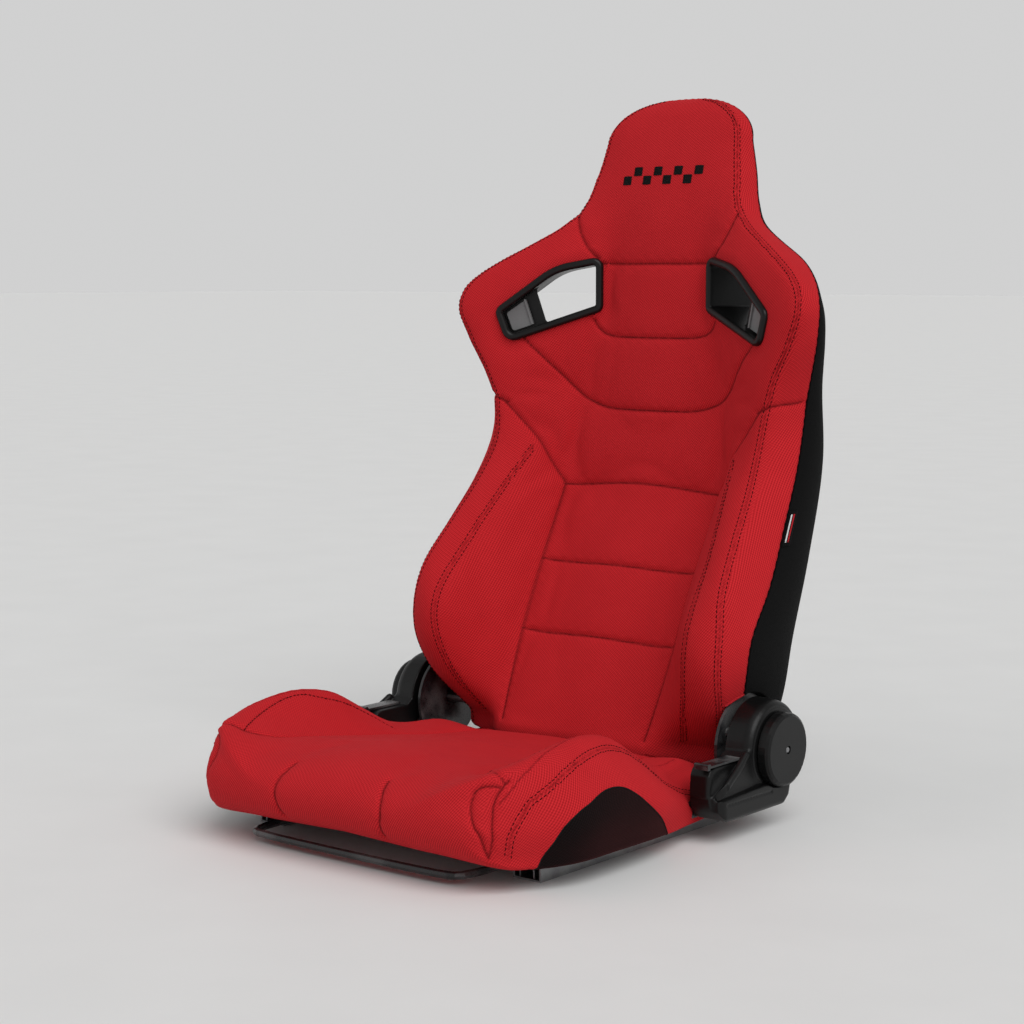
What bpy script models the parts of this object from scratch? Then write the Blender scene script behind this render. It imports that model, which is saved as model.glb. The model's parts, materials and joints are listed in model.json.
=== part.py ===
"""Reclining sports seat with harness openings, on slider rails, as an assembly of its real pieces.

Metres, +Z up. The seat faces -Y, +X is the occupant's left-hand side, Z = 0 is the floor under the rails
and X = 0 is the plane of symmetry. Pieces that move carry their origin on their joint's axis.
"""
import math

import bmesh
import bpy
import numpy as np
from mathutils import Matrix, Vector

# ---------------------------------------------------------------- driving dimensions
GAP = 0.0003                  # clearance between pieces that touch
TRIM_GAP = 0.0008             # clearance between soft pieces and trim

HINGE_Y = 0.124               # recline axis, parallel to X
HINGE_Z = 0.100

CUSHION_REAR_Y = 0.072        # rear end of the seat cushion
CUSHION_ROLL_Y = -0.306       # where the front roll starts
CUSHION_NOSE_Y = -0.381       # foremost point of the front roll
CUSHION_ROLL_Z = 0.078        # height of the nose of the roll
CUSHION_HOLLOW = (0.232, -0.300, 0.0556)  # half width, front end and roof of the hollow under the cushion

PAD_FOOT_Z = 0.070            # lowest row of the backrest's pad
BACK_FOOT_Z = 0.085           # lowest row of the rear cover
BACK_CROWN_Z = 0.865          # where the head starts to round over
BACK_TOP_Z = 0.925            # top of the head
BACK_CREST_Y = 0.352          # the crest's place front to back
CROWN_ROUNDNESS = 0.86        # 1 makes the head's outline an ellipse, less makes it squarer
REAR_COVER_T = 0.004          # wall of the rear cover
REAR_COVER_LAP = 0.0050       # the rear cover starts this far behind the pad's edge
NOTCH_X = 0.2408              # the back is cut away outside this, around the recliners

OPENING_PLANE = (0.0865, 0.2705, 26.5)    # x, y of the inner end and turn in degrees of a harness opening
OPENING_CORNERS = ((0.0, 0.6365), (0.137, 0.5905), (0.1545, 0.638), (0.070, 0.699), (0.0, 0.712))
OPENING_RADII = (0.012, 0.018, 0.013, 0.100, 0.014)
CORNER_POINTS = 6             # points on each rounded corner
SLEEVE_DEPTH = 0.061          # front plane to rear plane
BEZEL_WIDTH = 0.0105
SLEEVE_WALL = 0.003
# Inner edge of the plate behind the lever in a harness opening, (s, z) from top to bottom.
HOUSING_EDGE = ((0.0915, 0.6716), (0.0923, 0.6699), (0.0955, 0.6659), (0.0953, 0.6607), (0.0834, 0.6238),
                (0.0816, 0.6213), (0.0784, 0.6213), (0.0777, 0.6199))
HOUSING_DEPTH = (0.0108, 0.0133)
LEVER_DEPTH = (0.0052, 0.0092)
LEVER_TIP = ((0.110, 0.652), (0.099, 0.618))     # the line of a shoulder lever's free edge, top and bottom
LEVER_PIN = (0.1385, 0.630)                      # its outer edge, where it turns

RAIL_X = 0.205                # slider rails, centre line
RAIL_FRONT_Y, RAIL_REAR_Y = -0.262, 0.158
LOWER_RAIL = (0.040, 0.016, 0.0022)       # width, height, wall
BOLT_HOLE = (0.0045, 0.018)               # radius, distance from the rail's end
UPPER_RAIL = (0.022, 0.0265, 0.0035)      # width, top height, underside height
PAN_RAIL = (0.030, 0.0268, 0.0552)        # width, lowest and highest z of a pan side rail
PAN_FLANGE_X = 0.2203         # the brackets' feet reach in to here
PAN_RAIL_Y = (-0.2850, 0.1000)
CROSS_TUBE_R = 0.011
CROSS_TUBE_Z = 0.0400
CROSS_TUBES = (("front_cross_tube", -0.2650), ("rear_cross_tube", 0.0820))
SEAT_SPRING_X = (0.052, 0.142)
SEAT_SPRING_Y, SEAT_SPRING_Z = -0.0915, 0.0535
RELEASE_BAR_R = 0.0050
RELEASE_BAR_Z = 0.0125        # low enough to pass under the cushion's front when it is lifted
RELEASE_BAR = ((0.1700, -0.2350), (0.1700, -0.3300), (0.1400, -0.3420))   # (x, y) from its hinge to its grip

ARM_X = (0.2425, 0.2465)      # upper arm plate
GEAR_X = (0.2470, 0.2495)     # recliner gear plate
BRACKET_X = (0.2500, 0.2540)  # lower bracket plate
COVER_X = (0.2576, 0.2940)    # bell housing, inner and outer face
COVER_BODY_X, COVER_WEB_X, COVER_LEDGE_X = 0.2860, 0.2925, 0.3010    # outer faces of the cover's lumps
WHEEL_X = (0.2946, 0.3120)    # hand wheel
WHEEL_R = 0.0465
ARM_BOLT_CIRCLE = 0.0430
LEVER_PIVOT = (0.0480, 0.0995)            # y and z of the release levers' pivots
RELEASE_X = (0.2690, 0.2890)              # inner and outer side of a release lever
BELL_R = 0.0600
ARM_R = 0.0620                # disc of the upper arm around the hinge
NOTCH_R = 0.0645              # the upholstery stays outside this radius where it is wider than NOTCH_X
POCKET_R = 0.0455             # hollow inside the bell, around the recline spring
HUB_R = 0.0070
GEAR_R = 0.0340
SHAFT_R = 0.0060

FRAME_TUBE_R = 0.009
WING_WIRE_R = 0.004
BACK_TUBES = (("back_lower_tube", (0.2210, 0.197, 0.205)), ("back_upper_tube", (0.1480, 0.313, 0.465)))
LUMBAR_SPRINGS = ((0.205, 0.235, 0.270), (0.200, 0.265, 0.330), (0.180, 0.288, 0.390))   # half length, y, z
SPRING_R = 0.0017

# Lines of the backrest's half section, each a list of (z, x, y).
BACK_CENTRE = [(.085, 0, .080), (.208, 0, .140), (.30, 0, .185), (.40, 0, .236), (.46, 0, .253),
               (.505, 0, .255), (.60, 0, .263), (.711, 0, .271), (.764, 0, .276), (.82, 0, .289),
               (.87, 0, .304)]
BACK_PANEL = [(.085, .118, .082), (.208, .124, .141), (.30, .125, .186), (.40, .127, .240),
              (.46, .125, .255), (.518, .112, .264), (.60, .100, .266), (.711, .085, .273),
              (.764, .080, .278), (.82, .075, .290), (.87, .070, .305)]
BACK_RIDGE = [(.085, .160, .116), (.15, .190, .069), (.247, .206, .052), (.33, .196, .114),
              (.40, .180, .172), (.462, .164, .223), (.515, .165, .236), (.56, .165, .232),
              (.60, .172, .226), (.645, .178, .226), (.69, .165, .236), (.73, .135, .256),
              (.764, .112, .272), (.82, .096, .291), (.87, .090, .306)]
BACK_OUTER = [(.085, .205, .129), (.15, .238, .079), (.19, .247, .061), (.25, .250, .060),
              (.29, .245, .071), (.35, .233, .116), (.41, .222, .165), (.46, .216, .194),
              (.515, .220, .202), (.553, .232, .198), (.60, .255, .193), (.647, .270, .189),
              (.675, .262, .199), (.70, .232, .216), (.725, .190, .239), (.75, .150, .261),
              (.77, .129, .274), (.82, .113, .295), (.87, .105, .309)]
BACK_EDGE = [(.085, .232, .159), (.155, .251, .116), (.195, .265, .101), (.235, .272, .100),
             (.295, .270, .143), (.367, .263, .187), (.441, .255, .227), (.525, .252, .249),
             (.617, .279, .221), (.65, .281, .221), (.68, .266, .239), (.705, .236, .261),
             (.73, .188, .280), (.75, .156, .294), (.78, .135, .312), (.82, .125, .323),
             (.87, .116, .326)]
BACK_CORNER = [(.085, .235, .199), (.15, .245, .217), (.22, .255, .221), (.32, .252, .262),
               (.45, .248, .302), (.55, .250, .286), (.60, .266, .259), (.64, .270, .248),
               (.667, .257, .253), (.69, .238, .266), (.71, .204, .288), (.74, .148, .316),
               (.78, .112, .335), (.82, .101, .343), (.87, .090, .345)]
BACK_REAR = [(.085, .14, .204), (.15, .15, .226), (.25, .15, .269), (.35, .15, .306), (.45, .15, .327),
             (.55, .15, .326), (.65, .15, .314), (.70, .14, .316), (.75, .09, .342), (.82, .06, .370),
             (.87, .055, .372)]
BACK_SPINE = [(.085, 0, .204), (.15, 0, .228), (.25, 0, .274), (.35, 0, .314), (.45, 0, .336),
              (.55, 0, .342), (.65, 0, .342), (.70, 0, .344), (.75, 0, .352), (.82, 0, .373),
              (.87, 0, .378)]
PAD_FRONT = (BACK_CENTRE, BACK_PANEL, BACK_RIDGE, BACK_OUTER, BACK_EDGE)
PAD_THICKNESS = [(.085, .030), (.20, .044), (.50, .040), (.70, .034), (.87, .036)]

# Lines of the seat cushion's half section, each a list of (y, x, z).
SEAT_CENTRE = [(-.306, 0, .127), (-.256, 0, .121), (-.156, 0, .108), (-.036, 0, .093), (.064, 0, .082),
               (.134, 0, .080)]
SEAT_VALLEY = [(-.306, .165, .123), (-.256, .158, .117), (-.156, .150, .103), (-.036, .145, .086),
               (.064, .140, .078), (.134, .135, .077)]
SEAT_RIDGE = [(-.306, .234, .143), (-.256, .230, .153), (-.186, .225, .158), (-.136, .222, .148),
              (-.086, .221, .121), (-.036, .220, .093), (-.006, .214, .087), (.034, .205, .086),
              (.134, .180, .080)]
SEAT_SEAM = [(-.306, .252, .125), (-.256, .252, .138), (-.176, .246, .146), (-.136, .244, .134),
             (-.086, .242, .108), (-.036, .234, .080), (-.006, .226, .073), (.034, .218, .073),
             (.134, .195, .070)]
SEAT_SIDE = [(-.306, .272, .075), (-.266, .284, .077), (-.176, .288, .085), (-.086, .278, .070),
             (-.046, .262, .062), (-.016, .244, .058), (.034, .238, .055), (.134, .212, .055)]
SEAT_HEM = [(-.306, .255, .025), (-.266, .270, .026), (-.176, .277, .027), (-.086, .270, .027),
            (-.046, .258, .028), (-.016, .246, .0325), (.034, .233, .041), (.134, .205, .042)]
SEAT_FLOOR = [(-.306, .130, .030), (-.176, .13, .034), (.134, .10, .040)]
SEAT_KEEL = [(-.306, 0, .034), (-.176, 0, .034), (.134, 0, .040)]
SEAT_LINES = (SEAT_CENTRE, SEAT_VALLEY, SEAT_RIDGE, SEAT_SEAM, SEAT_SIDE, SEAT_HEM, SEAT_FLOOR, SEAT_KEEL)
NOSE_TAPER = (-0.235, 0.035)  # the cushion narrows by this share between this y and the roll's start
ROLL_NARROWING = (0.06, 0.15)             # further shares: one eases in with the reach, one with the turn

RED = ((0.47, 0.017, 0.023), 0.85, 0.0)
BLACK_CLOTH = ((0.013, 0.013, 0.013), 0.90, 0.0)
BLACK_PLASTIC = ((0.016, 0.016, 0.016), 0.45, 0.0)
BLACK_STEEL = ((0.012, 0.012, 0.013), 0.32, 0.7)
GREY_PLASTIC = ((0.13, 0.13, 0.13), 0.50, 0.0)
BARE_STEEL = ((0.45, 0.45, 0.46), 0.35, 1.0)


# ---------------------------------------------------------------- scene helpers
def clear_scene():
    for obj in list(bpy.data.objects):
        bpy.data.objects.remove(obj, do_unlink=True)


def new_collection(name):
    collection = bpy.data.collections.new(name)
    bpy.context.scene.collection.children.link(collection)
    return collection


def material(name, finish):
    mat = bpy.data.materials.get(name)
    if mat is None:
        colour, roughness, metallic = finish
        mat = bpy.data.materials.new(name)
        mat.use_nodes = True
        shader = mat.node_tree.nodes["Principled BSDF"]
        shader.inputs["Base Color"].default_value = (*colour, 1.0)
        shader.inputs["Roughness"].default_value = roughness
        shader.inputs["Metallic"].default_value = metallic
    return mat


def mesh_object(name, bm, mat, collection, origin=(0, 0, 0)):
    """Turn a bmesh in world coordinates into an object whose origin is at the given point."""
    bmesh.ops.remove_doubles(bm, verts=bm.verts, dist=1e-6)
    bmesh.ops.recalc_face_normals(bm, faces=bm.faces)
    bmesh.ops.translate(bm, verts=bm.verts, vec=-Vector(origin))
    mesh = bpy.data.meshes.new(name)
    bm.to_mesh(mesh)
    bm.free()
    mesh.shade_smooth()
    mesh.set_sharp_from_angle(angle=math.radians(35))
    mesh.materials.append(mat)
    obj = bpy.data.objects.new(name, mesh)
    obj.location = origin
    collection.objects.link(obj)
    return obj


def cut(obj, cutter, operation="DIFFERENCE"):
    cutter.hide_render = True
    cutter.display_type = "WIRE"
    modifier = obj.modifiers.new(cutter.name, "BOOLEAN")
    modifier.operation = operation
    modifier.solver = "EXACT"
    modifier.object = cutter


# ---------------------------------------------------------------- curves and sections
def sample(keys, at):
    """Smooth curve through keys (t, a, b, ...), read at the values in at."""
    table = np.array(keys, float)
    t, value = table[:, 0], table[:, 1:]
    step = np.diff(t)[:, None]
    slope = np.diff(value, axis=0) / step
    tangent = np.zeros_like(value)
    tangent[1:-1] = (slope[:-1] * step[1:] + slope[1:] * step[:-1]) / (step[1:] + step[:-1])
    tangent[0], tangent[-1] = slope[0], slope[-1]
    at = np.atleast_1d(np.asarray(at, float))
    i = np.clip(np.searchsorted(t, at, side="right") - 1, 0, len(t) - 2)
    width = (t[i + 1] - t[i])[:, None]
    s = np.clip((at - t[i]) / (t[i + 1] - t[i]), 0, 1)[:, None]
    start = (1 + 2 * s) * (1 - s) ** 2 * value[i] + s * (1 - s) ** 2 * width * tangent[i]
    return start + s * s * (3 - 2 * s) * value[i + 1] - s * s * (1 - s) * width * tangent[i + 1]


def smooth_section(points, per_span, mirror_end=True):
    """Catmull-Rom curve through a half section's points (rows, count, 3), mirrored about X = 0."""
    mirror = np.array([-1, 1, 1])
    last = points[:, -2:-1] * mirror if mirror_end else 2 * points[:, -1:] - points[:, -2:-1]
    extended = np.concatenate([points[:, 1:2] * mirror, points, last], axis=1)
    knots = np.linalg.norm(np.diff(extended, axis=1), axis=2) ** 0.5 + 1e-9
    columns = []
    for i in range(points.shape[1] - 1):
        p0, p1, p2, p3 = (extended[:, i + k] for k in range(4))
        d0, d1, d2 = (knots[:, i + k][:, None] for k in range(3))
        m1 = (p2 - p1) + d1 * ((p1 - p0) / d0 - (p2 - p0) / (d0 + d1))
        m2 = (p2 - p1) + d1 * ((p3 - p2) / d2 - (p3 - p1) / (d1 + d2))
        for k in range(per_span):
            s = k / per_span
            start = (1 + 2 * s) * (1 - s) ** 2 * p1 + s * (1 - s) ** 2 * m1
            columns.append(start + s * s * (3 - 2 * s) * p2 - s * s * (1 - s) * m2)
    columns.append(points[:, -1])
    return np.stack(columns, axis=1)


def lines_at(lines, at, along):
    """Points (rows, lines, 3) of section lines; along is the axis they run on, 1 for Y or 2 for Z."""
    points = np.zeros((len(at), len(lines), 3))
    other = 3 - along
    for j, keys in enumerate(lines):
        value = sample(keys, at)
        points[:, j, 0] = value[:, 0]
        points[:, j, other] = value[:, 1]
        points[:, j, along] = at
    return points


def loft(rings, close_last=True):
    """Skin closed rings (rows, columns, 3) into a bmesh, with flat caps."""
    bm = bmesh.new()
    rows = [[bm.verts.new(p) for p in ring] for ring in rings]
    for low, high in zip(rows, rows[1:]):
        for j in range(len(low)):
            k = (j + 1) % len(low)
            bm.faces.new((low[j], low[k], high[k], high[j]))
    bm.faces.new(rows[0][::-1])
    if close_last:
        bm.faces.new(rows[-1])
    return bm


def mirrored_ring(half):
    """Closed ring from a half section that starts and ends on X = 0."""
    other = half[1:-1][::-1] * np.array([-1, 1, 1])
    return np.concatenate([half, other])


# ---------------------------------------------------------------- simple solids
def box_bm(low, high, bevel=0.0):
    bm = bmesh.new()
    size = [b - a for a, b in zip(low, high)]
    centre = [(a + b) / 2 for a, b in zip(low, high)]
    bmesh.ops.create_cube(bm, size=1.0, matrix=Matrix.Translation(centre) @ Matrix.Diagonal((*size, 1)))
    if bevel:
        bmesh.ops.bevel(bm, geom=bm.edges[:], offset=bevel, segments=1, affect="EDGES", profile=0.5)
    return bm


def cylinder_bm(x_low, x_high, radius, y, z, sides):
    """Cylinder along X."""
    turn = Matrix.Rotation(math.radians(90), 4, "Y")
    place = Matrix.Translation(((x_low + x_high) / 2, y, z))
    bm = bmesh.new()
    bmesh.ops.create_cone(bm, cap_ends=True, segments=sides, radius1=radius, radius2=radius,
                          depth=x_high - x_low, matrix=place @ turn)
    return bm


def plate_bm(outline, x_low, x_high):
    """Flat plate: an outline of (y, z) points, with its thickness along X."""
    rings = [[(x, y, z) for y, z in outline] for x in (x_low, x_high)]
    return loft(rings)


def turned_bm(profile, y, z, sides=40):
    """Solid of revolution about an axis along X; profile is (x, radius), with radius 0 at both ends."""
    bm = bmesh.new()
    rings = []
    for x, radius in profile:
        if radius == 0:
            rings.append([bm.verts.new((x, y, z))])
            continue
        angles = [2 * math.pi * k / sides for k in range(sides)]
        rings.append([bm.verts.new((x, y + radius * math.cos(a), z + radius * math.sin(a))) for a in angles])
    for low, high in zip(rings, rings[1:]):
        for k in range(sides):
            n = (k + 1) % sides
            corners = [low[k % len(low)], low[n % len(low)], high[n % len(high)], high[k % len(high)]]
            bm.faces.new(list(dict.fromkeys(corners)))
    return bm


def arc(centre, radius, start, end, count):
    """Points (y, z) on an arc, angles in degrees from +Y towards +Z."""
    angles = np.radians(np.linspace(start, end, count))
    return [(centre[0] + radius * math.cos(a), centre[1] + radius * math.sin(a)) for a in angles]


def flip(bm, side):
    """Mirror a bmesh built on the +X side onto the side asked for."""
    if side < 0:
        bmesh.ops.scale(bm, vec=(-1, 1, 1), verts=bm.verts)
        bmesh.ops.reverse_faces(bm, faces=bm.faces)
    return bm


def tube(name, points, radius, mat, collection, resolution=2, smooth=2):
    """Round bar along a route: a poly curve with a bevel, turned into a mesh with welded caps."""
    route = [Vector(p) for p in points]
    for _ in range(smooth):
        route = chaikin(route)
    data = bpy.data.curves.new(name, "CURVE")
    data.dimensions = "3D"
    data.bevel_depth = radius
    data.bevel_resolution = resolution
    data.use_fill_caps = True
    spline = data.splines.new("POLY")
    spline.points.add(len(route) - 1)
    for target, point in zip(spline.points, route):
        target.co = (*point, 1)
    guide = bpy.data.objects.new(name + "_route", data)
    bpy.context.scene.collection.objects.link(guide)
    bpy.context.view_layer.update()
    evaluated = guide.evaluated_get(bpy.context.evaluated_depsgraph_get())
    mesh = bpy.data.meshes.new_from_object(evaluated)
    bm = bmesh.new()
    bm.from_mesh(mesh)
    bpy.data.objects.remove(guide, do_unlink=True)
    bpy.data.meshes.remove(mesh)
    bmesh.ops.remove_doubles(bm, verts=bm.verts, dist=1e-6)
    return mesh_object(name, bm, mat, collection)


def chaikin(route):
    """Round a route's corners once, keeping its ends."""
    out = [route[0]]
    for a, b in zip(route, route[1:]):
        out += [a.lerp(b, 0.25), a.lerp(b, 0.75)]
    out.append(route[-1])
    return out


# ---------------------------------------------------------------- upholstery
def fan(bm, ring, centre):
    """Close a ring of vertices with triangles to one point."""
    tip = bm.verts.new(centre)
    for a, b in zip(ring, ring[1:] + ring[:1]):
        bm.faces.new((a, b, tip))


def seat_cushion(collection, cutters):
    rows = np.linspace(CUSHION_REAR_Y, CUSHION_ROLL_Y, 12)
    halves = smooth_section(lines_at(SEAT_LINES, rows, 1), 3)
    taper = np.clip((NOSE_TAPER[0] - rows) / (NOSE_TAPER[0] - CUSHION_ROLL_Y), 0, 1) ** 2
    halves[:, :, 0] *= 1 - NOSE_TAPER[1] * taper[:, None]
    rings = [mirrored_ring(half) for half in halves]
    base = rings[-1]
    for degrees in (18, 36, 53, 68, 80):
        sine, shrink = math.sin(math.radians(degrees)), math.cos(math.radians(degrees))
        ring = base.copy()
        ring[:, 1] += sine * (CUSHION_NOSE_Y - CUSHION_ROLL_Y) * (1 - 0.12 * np.abs(base[:, 0] / 0.28) ** 3)
        ring[:, 0] *= 1 - ROLL_NARROWING[0] * sine - ROLL_NARROWING[1] * (1 - shrink)
        ring[:, 2] = CUSHION_ROLL_Z + (base[:, 2] - CUSHION_ROLL_Z) * shrink ** 0.9
        rings.append(ring)
    bm = loft(rings, close_last=False)
    bm.verts.ensure_lookup_table()
    last = list(bm.verts)[-len(base):]
    fan(bm, last, (0, CUSHION_NOSE_Y, CUSHION_ROLL_Z))
    obj = mesh_object("seat_cushion", bm, material("red_fabric", RED), collection)
    half_width, front, roof = CUSHION_HOLLOW
    hollow = box_bm((-half_width, front, -0.01), (half_width, CUSHION_REAR_Y + 0.05, roof))
    cut(obj, mesh_object("seat_hollow_cutter", hollow, material("cutter", GREY_PLASTIC), cutters))
    return obj


def crown(rows, ring, degrees):
    """A backrest ring shrunk towards the crest of the head."""
    middle = (BACK_CENTRE[-1][2] + BACK_SPINE[-1][2]) / 2
    sine, shrink = math.sin(math.radians(degrees)), math.cos(math.radians(degrees))
    out = ring.copy()
    out[:, 0] *= shrink ** CROWN_ROUNDNESS
    out[:, 1] = BACK_CREST_Y + (ring[:, 1] - middle) * shrink ** 0.8 + (middle - BACK_CREST_Y) * (1 - sine)
    out[:, 2] = BACK_CROWN_Z + (BACK_TOP_Z - BACK_CROWN_Z) * sine
    rows.append(out)


def back_rows():
    low, shoulder = np.linspace(BACK_FOOT_Z, 0.645, 12), np.linspace(0.67, 0.785, 6)
    return np.concatenate([low, shoulder, [0.825, BACK_CROWN_Z]])


def back_cushion(collection, cutters):
    rows = np.concatenate([[PAD_FOOT_Z], back_rows()])
    front = lines_at(PAD_FRONT, rows, 2)
    thickness = sample(PAD_THICKNESS, rows)[:, 0]
    inner = np.zeros((len(rows), 3, 3))
    inner[:, :, 2] = rows[:, None]
    inner[:, 0, 0] = front[:, -1, 0] - 0.030
    inner[:, 0, 1] = front[:, -1, 1] - 0.001
    inner[:, 1, 0] = front[:, 1, 0]
    inner[:, 1, 1] = front[:, 1, 1] + thickness
    inner[:, 2, 1] = front[:, 0, 1] + thickness
    outer = smooth_section(front, 3, mirror_end=False)
    rings = [mirrored_ring(half) for half in np.concatenate([outer, inner], axis=1)]
    base = rings[-1]
    for degrees in (20, 42, 62, 78):
        crown(rings, base, degrees)
    bm = loft(rings, close_last=False)
    last = list(bm.verts)[-len(base):]
    tip = sum((v.co for v in last), Vector()) / len(last)
    fan(bm, last, (0, tip.y, BACK_TOP_Z))
    obj = mesh_object("back_cushion", bm, material("red_fabric", RED), collection)
    sleeve_cutters = opening_cutters(cutters, "pad_opening", BEZEL_WIDTH - SLEEVE_WALL - 0.0006)
    for cutter in sleeve_cutters + opening_cutters(cutters, "flange", -TRIM_GAP, 0.0052):
        cut(obj, cutter)
    for cutter in notch_cutters(cutters, "pad"):
        cut(obj, cutter)
    channel = cylinder_bm(-0.3, 0.3, SHAFT_R + 0.005, HINGE_Y, HINGE_Z, 16)
    cut(obj, mesh_object("shaft_channel_cutter", channel, material("cutter", GREY_PLASTIC), cutters))
    return obj


def rear_cover(collection, cutters):
    rows = back_rows()
    lines = (BACK_EDGE, BACK_CORNER, BACK_REAR, BACK_SPINE)
    points = lines_at(lines, rows, 2)
    run = points[:, 1] - points[:, 0]
    points[:, 0] += run / np.linalg.norm(run, axis=1)[:, None] * REAR_COVER_LAP
    entry = lines_at((BACK_OUTER,), rows, 2)
    half = smooth_section(np.concatenate([entry, points], axis=1), 2)[:, 2:]
    strips = [np.concatenate([h[:-1], h[::-1] * np.array([-1, 1, 1])]) for h in half]
    base = strips[-1]
    for degrees in (20, 42, 61, 73):
        crown(strips, base, degrees)
        strips[-1][:, 1] += 2 * TRIM_GAP
    bm = bmesh.new()
    grid = [[bm.verts.new(p) for p in strip] for strip in strips]
    for low, high in zip(grid, grid[1:]):
        for j in range(len(low) - 1):
            bm.faces.new((low[j], low[j + 1], high[j + 1], high[j]))
    obj = mesh_object("rear_cover", bm, material("black_fabric", BLACK_CLOTH), collection)
    if obj.data.polygons[0].normal.x < 0:
        obj.data.flip_normals()
    shell = obj.modifiers.new("wall", "SOLIDIFY")
    shell.thickness = REAR_COVER_T
    shell.offset = -1
    for cutter in opening_cutters(cutters, "cover_opening", -TRIM_GAP):
        cut(obj, cutter)
    for cutter in notch_cutters(cutters, "cover"):
        cut(obj, cutter)
    return obj


def notch_cutters(cutters, label):
    out = []
    for side, word in ((1, "left"), (-1, "right")):
        bm = flip(cylinder_bm(NOTCH_X, 0.33, NOTCH_R, HINGE_Y, HINGE_Z, 48), side)
        out.append(mesh_object(f"{label}_notch_cutter_{word}", bm, material("cutter", GREY_PLASTIC), cutters))
    return out


# ---------------------------------------------------------------- harness openings
def opening_outline(inset):
    """Rounded outline (s, z) of a harness opening, moved inwards by inset."""
    corners = [Vector(c) for c in OPENING_CORNERS]
    moved = []
    for i, corner in enumerate(corners):
        before = (corner - corners[i - 1]).normalized()
        after = (corners[(i + 1) % len(corners)] - corner).normalized()
        n1, n2 = Vector((-before.y, before.x)), Vector((-after.y, after.x))
        bisector = (n1 + n2) / (1 + n1.dot(n2))
        moved.append(corner + bisector * inset)
    out = []
    for i, corner in enumerate(moved):
        before = (corner - moved[i - 1]).normalized()
        after = (moved[(i + 1) % len(moved)] - corner).normalized()
        turn = math.acos(max(-1, min(1, before.dot(after))))
        radius = max(OPENING_RADII[i] - inset, 0.003)
        start = corner - before * radius * math.tan(turn / 2)
        centre = start + Vector((-before.y, before.x)) * radius
        for k in range(CORNER_POINTS):
            angle = turn * k / (CORNER_POINTS - 1)
            spoke = start - centre
            out.append(centre + Vector((spoke.x * math.cos(angle) - spoke.y * math.sin(angle),
                                        spoke.x * math.sin(angle) + spoke.y * math.cos(angle))))
    return out


def opening_point(s, z, depth):
    """World point of a harness opening's own coordinates, on the +X side."""
    x0, y0, turn = OPENING_PLANE
    cos, sin = math.cos(math.radians(turn)), math.sin(math.radians(turn))
    return Vector((x0 + cos * s + sin * depth, y0 - sin * s + cos * depth, z))


def opening_plate(outline, near, far):
    """Plate in an opening's own coordinates: an outline of (s, z) points between two depths."""
    return loft([[opening_point(s, z, depth) for s, z in outline] for depth in (near, far)])


def opening_cutters(cutters, label, inset, far=0.12):
    """Cutters that open the upholstery in front of the given depth, inside the outline moved by inset."""
    out = []
    for side, word in ((1, "left"), (-1, "right")):
        bm = flip(opening_plate(opening_outline(inset), -0.05, far), side)
        out.append(mesh_object(f"{label}_cutter_{word}", bm, material("cutter", GREY_PLASTIC), cutters))
    return out


def ring_around_opening(profile, side):
    """Closed ring with the given (inset, depth) profile swept round a harness opening."""
    rings = []
    for inset, depth in profile:
        rings.append([opening_point(s, z, depth) for s, z in opening_outline(inset)])
    bm = bmesh.new()
    rows = [[bm.verts.new(p) for p in ring] for ring in rings]
    for low, high in zip(rows, rows[1:] + rows[:1]):
        for j in range(len(low)):
            k = (j + 1) % len(low)
            bm.faces.new((low[j], low[k], high[k], high[j]))
    return flip(bm, side)


def outer_end(inset, s_low):
    """The part of an opening's outline, moved inwards by inset, that lies beyond s_low."""
    return [p for p in opening_outline(inset) if p.x > s_low]


def harness_trim(side, word, collection, cutters):
    plastic = material("black_plastic", BLACK_PLASTIC)
    wide, wall = BEZEL_WIDTH, SLEEVE_WALL
    front = [(0, 0.0045), (0, -0.0015), (0.0022, -0.0045), (0.0060, -0.0055), (0.0092, -0.0035),
             (wide, 0.0015), (wide, SLEEVE_DEPTH), (wide - wall, SLEEVE_DEPTH), (wide - wall, 0.0045)]
    bezel = mesh_object(f"harness_bezel_{word}", ring_around_opening(front, side), plastic, collection)
    outline = outer_end(wide - wall / 2, 0.11) + list(HOUSING_EDGE)
    housing = flip(opening_plate(outline, *HOUSING_DEPTH), side)
    cutter_mat = material("cutter", GREY_PLASTIC)
    cut(bezel, mesh_object(f"lever_housing_{word}", housing, cutter_mat, cutters), "UNION")
    near, far = SLEEVE_DEPTH - 0.0050, SLEEVE_DEPTH + 0.0030
    rear = [(0, near), (0, far - 0.002), (0.002, far), (wide - wall - 0.002, far),
            (wide - wall - GAP, far - 0.002), (wide - wall - GAP, near)]
    mesh_object(f"harness_rear_ring_{word}", ring_around_opening(rear, side), plastic, collection)


def shoulder_lever(side, word, collection, cutters):
    """Fold-forward lever in the outer end of a harness opening, with a raised lip on its free edge."""
    (top_s, top_z), (low_s, low_z) = LEVER_TIP
    near, far = LEVER_DEPTH
    outline = outer_end(BEZEL_WIDTH + 0.0035, 0.11) + [LEVER_TIP[0], LEVER_TIP[1]]
    pin = opening_point(*LEVER_PIN, (near + far) / 2)
    lever = mesh_object(f"shoulder_lever_{word}", flip(opening_plate(outline, near, far), side),
                        material("grey_plastic", GREY_PLASTIC), collection, (pin.x * side, pin.y, pin.z))
    lip = [(top_s, top_z), (low_s, low_z), (low_s + 0.003, low_z), (top_s + 0.003, top_z)]
    lip_bm = flip(opening_plate(lip, near - 0.0022, near + 0.001), side)
    cut(lever, mesh_object(f"lever_lip_{word}", lip_bm, material("cutter", GREY_PLASTIC), cutters), "UNION")


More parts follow.
